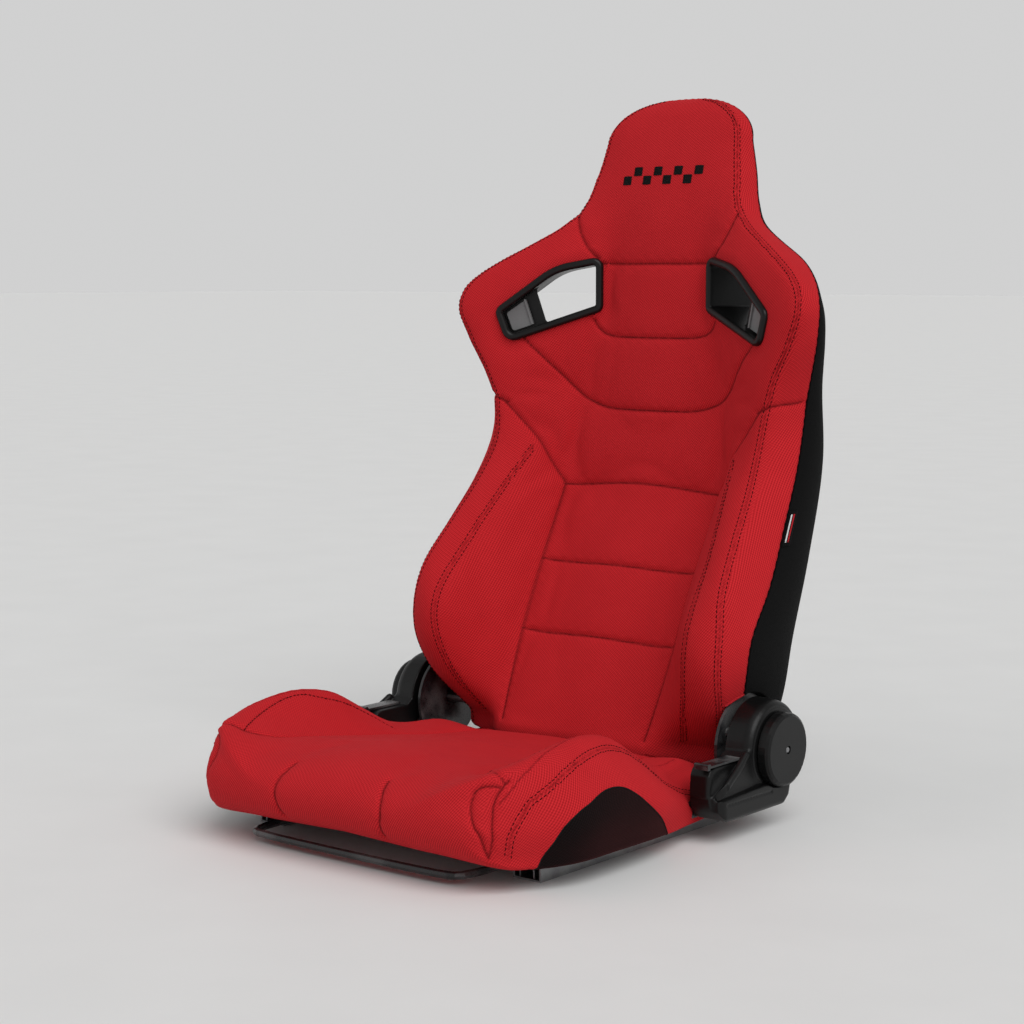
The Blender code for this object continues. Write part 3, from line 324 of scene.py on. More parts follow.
def project(points, tree):
    """Nearest points of a surface, and its normals there."""
    found = [tree.find_nearest(Vector(p)) for p in points]
    return np.array([f[0] for f in found]), np.array([f[1] for f in found])


def distance_to(points, samples):
    """Distance of each point to the nearest of the samples."""
    tree = KDTree(len(samples))
    for i, p in enumerate(samples):
        tree.insert(p, i)
    tree.balance()
    return np.array([tree.find(p)[2] for p in points])


# ---------------------------------------------------------------- materials
class Nodes:
    """Short way to build a node tree: each call adds a node and links its inputs."""

    def __init__(self, name):
        self.mat = bpy.data.materials.new(name)
        self.mat.use_nodes = True
        self.tree = self.mat.node_tree
        self.shader = self.tree.nodes["Principled BSDF"]

    def add(self, kind, settings=None, **inputs):
        node = self.tree.nodes.new(kind)
        for key, value in (settings or {}).items():
            setattr(node, key, value)
        for key, value in inputs.items():
            self.put(node.inputs[int(key[1:]) if key[1:].isdigit() else key.replace("_", " ")], value)
        return node.outputs[0]

    def put(self, socket, value):
        if isinstance(value, bpy.types.NodeSocket):
            self.tree.links.new(value, socket)
        else:
            socket.default_value = value

    def math(self, operation, a, b=0.0):
        return self.add("ShaderNodeMath", {"operation": operation}, i0=a, i1=b)

    def weighted(self, a, share_a, b, share_b):
        """a * share_a + b * share_b"""
        return self.math("ADD", self.math("MULTIPLY", a, share_a), self.math("MULTIPLY", b, share_b))

    def varied(self, base, value, share):
        """base, plus a share of how far the value is from one half"""
        return self.math("ADD", base, self.math("MULTIPLY", self.math("SUBTRACT", value, 0.5), share))

    def ramp(self, value, stops):
        node = self.add("ShaderNodeValToRGB", i0=value).node
        ramp = node.color_ramp
        while len(ramp.elements) < len(stops):
            ramp.elements.new(0.5)
        for element, (place, colour) in zip(ramp.elements, stops):
            element.position = place
            element.color = (*colour, 1.0) if hasattr(colour, "__len__") else (colour, colour, colour, 1.0)
        return node.outputs[0]

    def mix(self, share, a, b):
        a, b = ((*value, 1.0) if isinstance(value, tuple) else value for value in (a, b))
        return self.add("ShaderNodeMix", {"data_type": "RGBA"}, i0=share, i6=a, i7=b).node.outputs[2]

    def coordinate(self, kind):
        return self.add("ShaderNodeTexCoord").node.outputs[kind]

    def split(self, vector):
        return self.add("ShaderNodeSeparateXYZ", i0=vector).node.outputs

    def noise(self, scale, detail):
        vector = self.coordinate("Object")
        return self.add("ShaderNodeTexNoise", Scale=scale, Detail=detail, Vector=vector).node.outputs["Fac"]

    def bump(self, height, distance, strength):
        return self.add("ShaderNodeBump", Distance=distance, Strength=strength, Height=height)

    def attribute(self, name):
        return self.add("ShaderNodeAttribute", {"attribute_name": name}).node.outputs["Fac"]

    def surface(self, colour, roughness, normal=None, **constants):
        self.put(self.shader.inputs["Base Color"], colour)
        self.put(self.shader.inputs["Roughness"], roughness)
        if normal is not None:
            self.tree.links.new(normal, self.shader.inputs["Normal"])
        for key, value in constants.items():
            self.shader.inputs[key.replace("_", " ")].default_value = value
        return self.mat


def tinted(colour, share):
    return tuple(c * share for c in colour)


WEAVE_PITCH, BLACK_PITCH = 0.0033, 0.0022     # spacing of the diagonal ribs in the red and in the black cloth
RED_DEEP, RED_MID, RED_HIGH = (0.330, 0.0085, 0.0120), (0.470, 0.0150, 0.0200), (0.600, 0.0240, 0.0300)
BLACK_DEEP, BLACK_HIGH = (0.0014, 0.0014, 0.0014), (0.0048, 0.0048, 0.0049)


def weave_on(nodes, a, b, pitch):
    """Height of a diagonal weave on the plane of two coordinates: ribs one way, broken into floats the other way."""
    u = nodes.math("MULTIPLY", a, 2 * math.pi / pitch)
    v = nodes.math("MULTIPLY", b, 2 * math.pi / pitch)
    rib = nodes.math("SINE", nodes.weighted(u, 1.05, v, -0.75))
    crossing = nodes.math("SINE", nodes.weighted(u, 0.55, v, 0.95))
    return nodes.weighted(rib, 0.33, crossing, 0.15)


def twill(nodes, pitch):
    """Height 0 to 1 of the cloth's weave, laid flat from the side that the surface faces."""
    wobble = nodes.math("MULTIPLY", nodes.noise(45.0, 1.0), 0.0012)
    x, y, z = (nodes.math("ADD", value, wobble) for value in nodes.split(nodes.coordinate("Object")))
    facing = nodes.split(nodes.coordinate("Normal"))
    weights = [nodes.math("POWER", nodes.math("ABSOLUTE", value), 10.0) for value in facing]
    total = nodes.math("ADD", nodes.math("ADD", weights[0], weights[1]), weights[2])
    height = 0.5
    for weight, (a, b) in zip(weights, ((y, z), (x, z), (x, y))):
        share = nodes.math("DIVIDE", weight, total)
        height = nodes.math("ADD", nodes.math("MULTIPLY", weave_on(nodes, a, b, pitch), share), height)
    return height


def cloth_material(name, deep, mid, high, pitch, insert=None, sheen=0.10, sheen_tint=(0.9, 0.10, 0.12)):
    """Woven cloth: ribs, fibres and broad patches, with painted shade along the seams; insert says where it is black
    instead.
    """
    nodes = Nodes(name)
    weave = twill(nodes, pitch)
    fibre, patch = nodes.noise(1500.0, 2.0), nodes.noise(28.0, 3.0)
    level = nodes.varied(nodes.varied(weave, fibre, 0.30), patch, 0.16)
    colour = nodes.ramp(level, ((0.12, deep), (0.50, mid), (0.92, high)))
    if insert is not None:
        black = nodes.ramp(level, ((0.15, BLACK_DEEP), (0.90, BLACK_HIGH)))
        colour = nodes.mix(insert(nodes), colour, black)
    # painted shade: the cloth darkens towards near-black along each seam, as if shadowed in its groove
    seam = nodes.attribute("seam_shade")
    colour = nodes.mix(nodes.math("MULTIPLY", seam, 0.86), colour, tinted(deep, 0.10))
    height = nodes.math("ADD", weave, nodes.math("MULTIPLY", fibre, 0.20))
    return nodes.surface(colour, nodes.ramp(fibre, ((0.2, 0.78), (0.8, 0.95))),
                         nodes.bump(height, 0.00035, 0.6), Sheen_Weight=sheen, Sheen_Roughness=0.5,
                         Specular_IOR_Level=0.08, Sheen_Tint=(*sheen_tint, 1.0))


ARCH = ((-0.306, 0.014), (-0.299, 0.026), (-0.295, 0.042), (-0.290, 0.056), (-0.281, 0.076), (-0.263, 0.090),
        (-0.242, 0.098), (-0.225, 0.104), (-0.208, 0.107), (-0.189, 0.106), (-0.173, 0.101), (-0.155, 0.090),
        (-0.138, 0.077), (-0.103, 0.052), (-0.082, 0.034), (-0.058, 0.010))    # edge of the black insert, (y, z)
ARCH_X = 0.236       # the insert lies further out than this
ARCH_SCALE = 5       # a curve node takes values up to 1, so heights are multiplied by this on the way in


def arch_insert(nodes):
    """1 on the outer sides of the cushion below the arch line, else 0."""
    x, y, z = nodes.split(nodes.coordinate("Object"))
    low, high = ARCH[0][0], ARCH[-1][0]
    share = nodes.math("DIVIDE", nodes.math("SUBTRACT", y, low), high - low)
    curve = nodes.add("ShaderNodeFloatCurve", Value=share).node
    keys = [((key_y - low) / (high - low), key_z * ARCH_SCALE) for key_y, key_z in ARCH]
    points = curve.mapping.curves[0].points
    points[0].location, points[-1].location = keys[0], keys[-1]
    for key in keys[1:-1]:
        points.new(*key)
    curve.mapping.update()
    under = nodes.math("LESS_THAN", z, nodes.math("MULTIPLY", curve.outputs[0], 1 / ARCH_SCALE))
    outside = nodes.math("GREATER_THAN", nodes.math("ABSOLUTE", x), ARCH_X)
    inside = nodes.math("MULTIPLY", nodes.math("GREATER_THAN", share, 0.0), nodes.math("LESS_THAN", share, 1.0))
    return nodes.math("MULTIPLY", nodes.math("MULTIPLY", under, outside), inside)


def plastic_material(name, colour, roughness):
    """Moulded plastic: a fine grain over broad, faint changes of tone and gloss."""
    nodes = Nodes(name)
    fine, broad = nodes.noise(1800.0, 3.0), nodes.noise(14.0, 4.0)
    shade = nodes.ramp(nodes.weighted(fine, 0.4, broad, 0.6),
                       ((0.30, tinted(colour, 0.75)), (0.70, tinted(colour, 1.25))))
    gloss = nodes.ramp(broad, ((0.3, roughness - 0.05), (0.7, roughness + 0.06)))
    return nodes.surface(shade, gloss, nodes.bump(fine, 0.00010, 0.6), Specular_IOR_Level=0.24)


def steel_material(name, colour, roughness, metallic, worn_and_glint):
    """Coated or plated steel, lighter in patches along its edges: partly wear, partly a painted edge highlight."""
    nodes = Nodes(name)
    fine, broad = nodes.noise(600.0, 4.0), nodes.noise(22.0, 5.0)
    # edges lighter in patches: partly wear, partly a painted highlight standing in for the edges' glint
    edge = nodes.add("ShaderNodeNewGeometry").node.outputs["Pointiness"]
    edge_wear_and_glint = nodes.math("MULTIPLY", nodes.ramp(edge, ((0.52, 0.0), (0.60, 1.0))),
                      nodes.ramp(broad, ((0.45, 0.0), (0.6, 0.7))))
    shade = nodes.ramp(fine, ((0.25, tinted(colour, 0.82)), (0.75, tinted(colour, 1.18))))
    shade = nodes.mix(edge_wear_and_glint, shade, worn_and_glint)
    gloss = nodes.ramp(fine, ((0.3, roughness - 0.06), (0.7, roughness + 0.08)))
    return nodes.surface(shade, gloss, nodes.bump(fine, 0.00012, 0.5), Metallic=metallic)


def thread_material(name, dark, light):
    """Twisted thread, with a dark line between its strands."""
    nodes = Nodes(name)
    twist = nodes.add("ShaderNodeTexWave", {"bands_direction": "DIAGONAL"}, Scale=900.0, Distortion=1.5,
                      Vector=nodes.coordinate("Object")).node.outputs["Fac"]
    colour = nodes.ramp(twist, ((0.2, dark), (0.9, light)))
    return nodes.surface(colour, 0.85, nodes.bump(twist, 0.00025, 0.7), Specular_IOR_Level=0.04)


RED_CLOTH = cloth_material("red_seat_cloth", RED_DEEP, RED_MID, RED_HIGH, WEAVE_PITCH)
CUSHION_CLOTH = cloth_material("red_cushion_cloth", RED_DEEP, RED_MID, RED_HIGH, WEAVE_PITCH, arch_insert)
BLACK_CLOTH = cloth_material("black_back_cloth", BLACK_DEEP, (0.0028, 0.0028, 0.0029), BLACK_HIGH, BLACK_PITCH,
                             sheen=0.02, sheen_tint=(0.5, 0.5, 0.5))
THREAD = thread_material("dark_thread", (0.010, 0.001, 0.0015), (0.060, 0.006, 0.008))
RED_THREAD = thread_material("red_thread", (0.22, 0.008, 0.012), (0.62, 0.030, 0.040))
BLACK_THREAD = thread_material("black_thread", (0.004, 0.004, 0.004), (0.022, 0.022, 0.022))
PLASTIC = plastic_material("moulded_black_plastic", (0.0050, 0.0050, 0.0051), 0.36)
GREY_PLASTIC = plastic_material("moulded_grey_plastic", (0.150, 0.150, 0.152), 0.44)
# the last colour of each steel is its lighter edges: partly wear, partly painted highlight
BLACK_STEEL = steel_material("powder_coated_steel", (0.012, 0.012, 0.013), 0.30, 0.0, (0.16, 0.16, 0.16))
BARE_STEEL = steel_material("zinc_plated_steel", (0.30, 0.30, 0.31), 0.34, 1.0, (0.45, 0.45, 0.45))


# ---------------------------------------------------------------- harness openings
def opening_outline(inset, per_corner=12):
    """Rounded outline (s, z) of a harness opening, moved inwards by inset."""
    corners = [Vector(c) for c in OPENING_CORNERS]
    moved = []
    for i, corner in enumerate(corners):
        before = (corner - corners[i - 1]).normalized()
        after = (corners[(i + 1) % len(corners)] - corner).normalized()
        n1, n2 = Vector((-before.y, before.x)), Vector((-after.y, after.x))
        moved.append(corner + (n1 + n2) / (1 + n1.dot(n2)) * inset)
    out = []
    for i, corner in enumerate(moved):
        before = (corner - moved[i - 1]).normalized()
        after = (moved[(i + 1) % len(moved)] - corner).normalized()
        turn = math.acos(max(-1, min(1, before.dot(after))))
        radius = max(OPENING_RADII[i] - inset, 0.003)
        start = corner - before * radius * math.tan(turn / 2)
        side = Vector((-before.y, before.x))
        for k in range(per_corner):
            angle = turn * k / (per_corner - 1)
            out.append(start + side * radius * (1 - math.cos(angle)) + before * radius * math.sin(angle))
    return out


def opening_point(s, z, depth, side):
    """World point of a harness opening's own coordinates."""
    return Vector((side * (OPENING_X + OPENING_COS * s + OPENING_SIN * depth),
                   OPENING_Y - OPENING_SIN * s + OPENING_COS * depth, z))


def opening_coordinates(points):
    """(s, z, depth) of world points, folded onto the +X side."""
    dx, dy = np.abs(points[:, 0]) - OPENING_X, points[:, 1] - OPENING_Y
    return OPENING_COS * dx - OPENING_SIN * dy, points[:, 2], OPENING_SIN * dx + OPENING_COS * dy


def outline_distance(s, z, inset=0.0):
    """Signed distance in the opening's plane to its outline, negative inside it."""
    outline = np.array([tuple(p) for p in opening_outline(inset, 6)])
    best = np.full(len(s), 9.0)
    inside = np.zeros(len(s), bool)
    for a, b in zip(outline, np.roll(outline, -1, axis=0)):
        run = b - a
        if run @ run < 1e-14:
            continue
        t = np.clip(((s - a[0]) * run[0] + (z - a[1]) * run[1]) / (run @ run), 0, 1)
        best = np.minimum(best, np.hypot(s - a[0] - t * run[0], z - a[1] - t * run[1]))
        crosses = (a[1] > z) != (b[1] > z)
        rise = b[1] - a[1] if abs(b[1] - a[1]) > 1e-12 else 1e-12
        inside ^= crosses & (s < (b[0] - a[0]) * (z - a[1]) / rise + a[0])
    return np.where(inside, -best, best)


def fit_opening(points, depth, reach, near, far):
    """Pull a surface to the given depth of the opening's plane round its outline, fading out over reach."""
    s, z, d = opening_coordinates(points)
    weight = (1 - smooth_step(outline_distance(s, z), 0.002, reach)) * ((d > near) & (d < far))
    move = (depth - d) * weight
    out = points.copy()
    out[:, 0] += np.sign(points[:, 0]) * OPENING_SIN * move
    out[:, 1] += OPENING_COS * move
    return out


def cut_opening(obj, near, far):
    """Remove the faces inside the openings' trim."""
    bm = bmesh.new()
    bm.from_mesh(obj.data)
    centres = np.array([f.calc_center_median() for f in bm.faces])
    s, z, d = opening_coordinates(centres)
    inside = (outline_distance(s, z, TRIM_MARGIN) < 0) & (d > near) & (d < far)
    bm.faces.ensure_lookup_table()
    bmesh.ops.delete(bm, geom=[bm.faces[i] for i in np.flatnonzero(inside)], context="FACES")
    bm.to_mesh(obj.data)
    bm.free()


# ---------------------------------------------------------------- sewing
def press(obj, hold, cap):
    """Foam presses the cloth out between its seams: a cloth simulation with the seams held, capped and applied."""
    rest = coords(obj)
    group = obj.vertex_groups.new(name="hold")
    levels = np.round(np.clip(hold, 0, 1) * PRESS_LEVELS).astype(int)
    for level in range(1, PRESS_LEVELS + 1):
        group.add(np.flatnonzero(levels == level).tolist(), level / PRESS_LEVELS, "REPLACE")
    cloth = obj.modifiers.new("cloth", "CLOTH")
    for key, value in PRESS.items():
        setattr(cloth.settings, key, value)
    cloth.settings.effector_weights.gravity = 0
    cloth.collision_settings.use_collision = False
    cloth.point_cache.frame_start, cloth.point_cache.frame_end = 1, PRESS_FRAMES
    for number in range(1, PRESS_FRAMES + 1):
        bpy.context.scene.frame_set(number)
    evaluated = obj.evaluated_get(bpy.context.evaluated_depsgraph_get())
    swollen = coords(evaluated)
    obj.modifiers.remove(cloth)
    obj.vertex_groups.clear()
    bpy.context.scene.frame_set(1)
    move = swollen - rest
    length = np.linalg.norm(move, axis=1)[:, None] + 1e-12
    free = (1 - np.clip(hold, 0, 1))[:, None]
    set_coords(obj, rest + move / length * np.minimum(length, cap) * np.minimum(1, free * 2))


class Seam:
    """A seam: points on the cloth, how many rows of stitches it has (plain, single or double), and their thread."""

    def __init__(self, points, kind="plain", thread=None):
        self.points, self.kind, self.thread = points, kind, thread


def both_sides(points):
    points = np.asarray(points, float)
    return [points, points * MIRROR]


def laid(waypoints, tree, step=LAY_STEP):
    """Points on the cloth along a smooth curve through the waypoints."""
    return project(spline(waypoints, step), tree)[0]


def seam_pairs(lines, tree, step=LAY_STEP, **looks):
    """A seam along each of the lines, and one along its mirror image."""
    return [Seam(laid(points, tree, step), **looks) for line in lines for points in both_sides(line)]


def groove(obj, seams):
    """Sink the seams into the cloth and store how much shade is painted on the cloth there."""
    points, outward = coords(obj), normals(obj)
    shade, drop = np.zeros(len(points)), np.zeros(len(points))
    first, second = (np.sin(points @ wave) * 0.5 for wave in PUCKER_WAVES)
    pucker = first + second
    for seam in seams:
        low, high = seam.points.min(axis=0) - 0.02, seam.points.max(axis=0) + 0.02
        near = np.flatnonzero(((points > low) & (points < high)).all(axis=1))
        if not len(near):
            continue
        distance = distance_to(points[near], seam.points)
        if seam.kind == "plain":
            profile = SEAM_DEPTH * bell(distance, SEAM_WIDTH)
            profile += DIP_DEPTH * bell(distance, DIP_WIDTH)
            depth, away = PLAIN_PUCKER
            dark = bell(distance, 0.0013)
        else:
            profile = FELL_DEPTH * bell(distance, FELL_WIDTH) + DENT_DEPTH * bell(distance, DENT_WIDTH, STITCH_OFFSET)
            profile -= FOLD_RISE * bell(distance, FOLD_WIDTH, STITCH_OFFSET / 2)
            depth, away = FELL_PUCKER
            dark = 0.75 * bell(distance, 0.0009)
        profile += depth * pucker[near] * bell(distance, PUCKER_WIDTH, away)
        drop[near] = np.where(np.abs(profile) > np.abs(drop[near]), profile, drop[near])
        shade[near] = np.maximum(shade[near], dark)
    set_coords(obj, points - outward * drop[:, None])
    # the stored darkness is painted shade, which the cloth material mixes into its colour
    attribute = obj.data.attributes.new("seam_shade", "FLOAT", "POINT")
    attribute.data.foreach_set("value", shade.astype(np.float32))


def sew(obj, seams):
    """Lay the seams back on cloth that has moved, and sink them into it."""
    tree = tree_of(obj)
    for seam in seams:
        seam.points = project(seam.points, tree)[0]
    groove(obj, seams)


def capsule():
    """A short thread seen from above: unit points (along, across, up) and faces."""
    stations = ((-0.5, 0.35), (-0.40, 0.85), (-0.15, 1.0), (0.15, 1.0), (0.40, 0.85), (0.5, 0.35))
    around = [2 * math.pi * k / 6 for k in range(6)]
    points = [(t, r * math.cos(a), r * math.sin(a)) for t, r in stations for a in around]
    faces = grid_faces(len(stations), 6)
    faces += [list(range(6))[::-1], [len(points) - 6 + k for k in range(6)]]
    return np.array(points), faces


CAPSULE_POINTS, CAPSULE_FACES = capsule()


def stitches(name, rows, tree, mat, pitch=STITCH_PITCH, length=STITCH_LENGTH, radius=STITCH_R, lead=None):
    """One mesh of thread stitches along rows of points on a surface; lead is where each row's first one starts."""
    points, faces = [], []
    for row in rows:
        run = np.concatenate([[0], np.cumsum(np.linalg.norm(np.diff(row, axis=0), axis=1))])
        for start in np.arange(pitch / 2 if lead is None else lead, run[-1] - length, pitch):
            ends = np.array([[np.interp(t, run, row[:, k]) for k in range(3)] for t in (start, start + length)])
            (a, b), (up, _) = project(ends, tree)
            middle, forward = (a + b) / 2, b - a
            size = np.linalg.norm(forward)
            if size < length * 0.4:
                continue
            forward /= size
            across = np.cross(up, forward)
            local = CAPSULE_POINTS * (size, radius, radius)
            bow = radius * 0.9 * (1 - (CAPSULE_POINTS[:, :1] * 2) ** 2) - radius * 0.35
            block = middle + local[:, :1] * forward + local[:, 1:2] * across + (local[:, 2:] + bow) * up
            base = len(points) * len(CAPSULE_POINTS)
            points.append(block)
            faces += [[base + i for i in face] for face in CAPSULE_FACES]
    mesh = bpy.data.meshes.new(name)
    mesh.from_pydata(np.concatenate(points).tolist(), [], faces)
    return finish_object(name, mesh, mat)


def offset_rows(points, tree, offset):
    """Rows of points on the surface, on both sides of a line of points that lies on it."""
    on, up = project(points, tree)
    forward = np.gradient(on, axis=0)
    forward /= np.linalg.norm(forward, axis=1)[:, None] + 1e-12
    across = np.cross(up, forward)
    return [project(on + across * d, tree)[0] for d in ((-offset, offset) if offset else (0,))]


def seam_stitches(name, seams, tree, body):
    """The stitches of all seams on one cushion, a mesh for each colour of thread."""
    for mat in (THREAD, RED_THREAD):
        rows = []
        for seam in seams:
            if seam.thread is mat:
                rows += offset_rows(seam.points, tree, STITCH_OFFSET if seam.kind == "double" else 0)
        if rows:
            piece = stitches(f"{name}_{mat.name}", rows, tree, mat)
            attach(piece, body)


def cord_along(name, points, radius, mat, body, sides):
    """A thin round cord or piping that follows points."""
    data = bpy.data.curves.new(name, "CURVE")
    data.dimensions = "3D"
    data.bevel_depth = radius
    data.bevel_resolution = (sides - 4) // 2
    data.use_fill_caps = True
    line = data.splines.new("POLY")
    line.points.add(len(points) - 1)
    for target, point in zip(line.points, points):
        target.co = (*point, 1)
    curve = bpy.data.objects.new(name + "_route", data)
    bpy.context.scene.collection.objects.link(curve)
    bpy.context.view_layer.update()
    mesh = bpy.data.meshes.new_from_object(curve.evaluated_get(bpy.context.evaluated_depsgraph_get()))
    bpy.data.objects.remove(curve)
    mesh.materials.clear()
    mesh.name = name
    obj = finish_object(name, mesh, mat)
    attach(obj, body)


# ---------------------------------------------------------------- backrest pad
def back_rows():
    return np.linspace(BACK_FOOT_Z, BACK_CROWN_Z, int((BACK_CROWN_Z - BACK_FOOT_Z) / CELL) + 1)


def crown(ring, degrees):
    """A backrest ring shrunk towards the crest of the head."""
    middle = (BACK_CENTRE[-1][2] + BACK_SPINE[-1][2]) / 2
    sine, shrink = math.sin(math.radians(degrees)), math.cos(math.radians(degrees))
    out = ring.copy()
    out[:, 0] *= shrink ** CROWN_ROUNDNESS
    out[:, 1] = BACK_CREST_Y + (ring[:, 1] - middle) * shrink ** 0.8 + (middle - BACK_CREST_Y) * (1 - sine)
    out[:, 2] = BACK_CROWN_Z + (BACK_TOP_Z - BACK_CROWN_Z) * sine
    return out


FRONT_SPANS = (17, 9, 8, 5)   # columns between the pad's lines, centre to edge
CROWN_DEGREES = np.linspace(6, 84, 12)
FOOT_DROP = (0.007, 0.014)    # the pad hangs this much lower behind the cushion, at its middle and at its sides


def pad_rings():
    """Rings of the backrest pad from its foot to its crest: the front's section lines, and a plain rear."""
    rows = np.concatenate([[PAD_FOOT_Z, (PAD_FOOT_Z + BACK_FOOT_Z) / 2], back_rows()])
    front = lines_at(PAD_FRONT, rows, 2)
    thickness = sample(PAD_THICKNESS, rows)[:, 0]
    inner = np.zeros((len(rows), 4, 3))
    inner[:, :, 2] = rows[:, None]
    inner[:, 0] = front[:, -1] + (-0.006, 0.0035, 0)
    inner[:, 1] = front[:, -1] + (-0.026, 0.004, 0)
    inner[:, 2, 0] = front[:, 1, 0]
    inner[:, 2, 1] = front[:, 1, 1] + thickness
    inner[:, 3, 1] = front[:, 0, 1] + thickness
    rings = mirrored_rings(np.concatenate([smooth_section(front, FRONT_SPANS, mirror_end=False), inner], axis=1))
    drop = FOOT_DROP[0] + (FOOT_DROP[1] - FOOT_DROP[0]) * smooth_step(np.abs(rings[:2, :, 0]), 0.13, 0.17)
    rings[:2, :, 2] -= drop * np.array([[1.0], [0.5]])
    return np.concatenate([rings, [crown(rings[-1], degrees) for degrees in CROWN_DEGREES]])


def back_column(rings, line):
    """The +X column of a pad line: 0 centre, 1 panel, 2 ridge, 3 outer, 4 edge."""
    return rings[:, sum(FRONT_SPANS[:line])]


def back_seams(rings, tree):
    """All seams of the backrest, laid on the cloth."""
    low_panel = [p for p in back_column(rings, 1) if 0.086 < p[2] < 0.397][::4]
    plain = [
        low_panel + [(.127, .240, .399)],
        [(.127, .240, .399), (.143, .232, .427), (.164, .223, .462), (.188, .212, .490), (.214, .203, .516)],
        [(.182, .205, .601), (.162, .232, .572), (.143, .252, .548), (.127, .262, .530), (.108, .266, .515),
         (.073, .260, .505), (.030, .256, .503), (0, .255, .503)],
        [(.096, .264, .640), (.098, .264, .628), (.091, .264, .613), (.078, .264, .605), (.058, .264, .602),
         (0, .263, .601)],
        [(.203, .206, .510), (.223, .201, .516), (.237, .214, .520), (.247, .233, .522), (.252, .243, .524)],
        [(.133, .274, .772), (.124, .268, .746), (.110, .266, .724), (.096, .271, .708)],
    ]
    seams = seam_pairs(plain, tree)
    level = ((0.701, 0.090, 0.0, .272), (0.399, 0.127, 0.0075, .236), (0.300, 0.125, 0.0, .185),
             (0.208, 0.124, 0.0, .140))    # z, half length, rise in the middle, y
    for z, reach, rise, y in level:
        waypoints = [(x, y, z + rise * (1 - (x / reach) ** 2)) for x in np.linspace(-reach, reach, 9)]
        seams.append(Seam(laid(waypoints, tree)))
    ridge = [p for p in back_column(rings, 2) if 0.088 < p[2] < 0.463]
    return seams + seam_pairs((back_column(rings, 3)[::2], ridge[::3]), tree, 0.002, kind="double", thread=THREAD)


def notch(points):
    """Step the outer sides in around the recliners."""
    radius = np.hypot(points[:, 1] - HINGE_Y, points[:, 2] - HINGE_Z)
    wide = np.abs(points[:, 0])
    keep = smooth_step(radius, NOTCH_R - 0.0015, NOTCH_R + 0.0002)
    out = points.copy()
    inside = (radius < NOTCH_R) & (wide > NOTCH_X - 0.001)
    out[inside, 0] = (np.sign(points[:, 0]) * (NOTCH_X - 0.001 + (wide - NOTCH_X + 0.001) * keep))[inside]
    return out


def hold_near(points, samples, width):
    return bell(distance_to(points, samples), width)


def hold_seams(points, seams):
    return hold_near(points, np.concatenate([seam.points[::3] for seam in seams]), SEAM_HOLD)


def surface_beside(tree, y, z):
    """Outermost +X point of a surface at a place seen from the side, or None."""
    return tree.ray_cast(Vector((0.5, y, z)), Vector((-1, 0, 0)))[0]


HEM_R = NOTCH_R + 0.0012      # radius of the hem round a recliner


def edge_work(rings, tree):
    """Serging along the edge between the red and the black cloth, and the hem round the recliners."""
    column = back_column(rings, 4)
    radius = np.hypot(column[:, 1] - HINGE_Y, column[:, 2] - HINGE_Z)
    column = column[(radius > NOTCH_R + 0.002) & (column[:, 2] > HINGE_Z)]
    loop = np.concatenate([column, column[::-1] * MIRROR])
    on, up = project(spline(loop, 0.003), tree)
    wave = 0.0004 * np.sin(np.arange(len(on)) * 1.9)[:, None]
    cord_along("edge_serging", on + up * (wave - 0.0002), 0.0009, RED_THREAD, "backrest", 6)
    hem = []
    for degrees in np.linspace(20, 170, 60):
        turn = math.radians(degrees)
        hit = surface_beside(tree, HINGE_Y + HEM_R * math.cos(turn), HINGE_Z + HEM_R * math.sin(turn))
        if hit is not None and hit.x > NOTCH_X:
            hem.append(tuple(hit))
    for (side, word), points in zip(SIDES, both_sides(hem)):
        cord_along(f"notch_hem_{word}", points, 0.0016, RED_THREAD, "backrest", 8)


STRIP_CENTRE, STRIP_CELL = (0.0, 0.820), (0.0165, 0.0120)    # x, z and the size of one block
STRIP_BLOCKS, STRIP_STEP = (8, 2), 0.0013                    # blocks across and high, and spacing of their threads


def make_head_strip(tree):
    """Chequered strip of satin stitches across the head."""
    rows = []
    across, high = STRIP_BLOCKS
    wide, tall = STRIP_CELL
    blocks = [(i, j) for i in range(across) for j in range(high) if (i + j) % 2 == 0]
    for i, j in blocks:
        left = STRIP_CENTRE[0] + (i - across / 2) * wide
        low = STRIP_CENTRE[1] + (j - high / 2) * tall
        for z in np.arange(low + 0.0007, low + tall, STRIP_STEP):
            places = np.linspace(left + 0.0004, left + wide - 0.0004, 7)
            rows.append(np.array([tuple(tree.ray_cast(Vector((x, 0.0, z)), Vector((0, 1, 0)))[0]) for x in places]))
    length = wide - 0.0010
    strip = stitches("head_strip", rows, tree, BLACK_THREAD, length, length * 0.96, 0.00085, lead=0.0002)
    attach(strip, "backrest")


LABEL_Z, LABEL_WIDTH, LABEL_T = (0.345, 0.388), 0.017, 0.0009
LABEL_STRIPES = (("white", 0.0045, 0.0075), ("red", 0.0095, 0.0125))


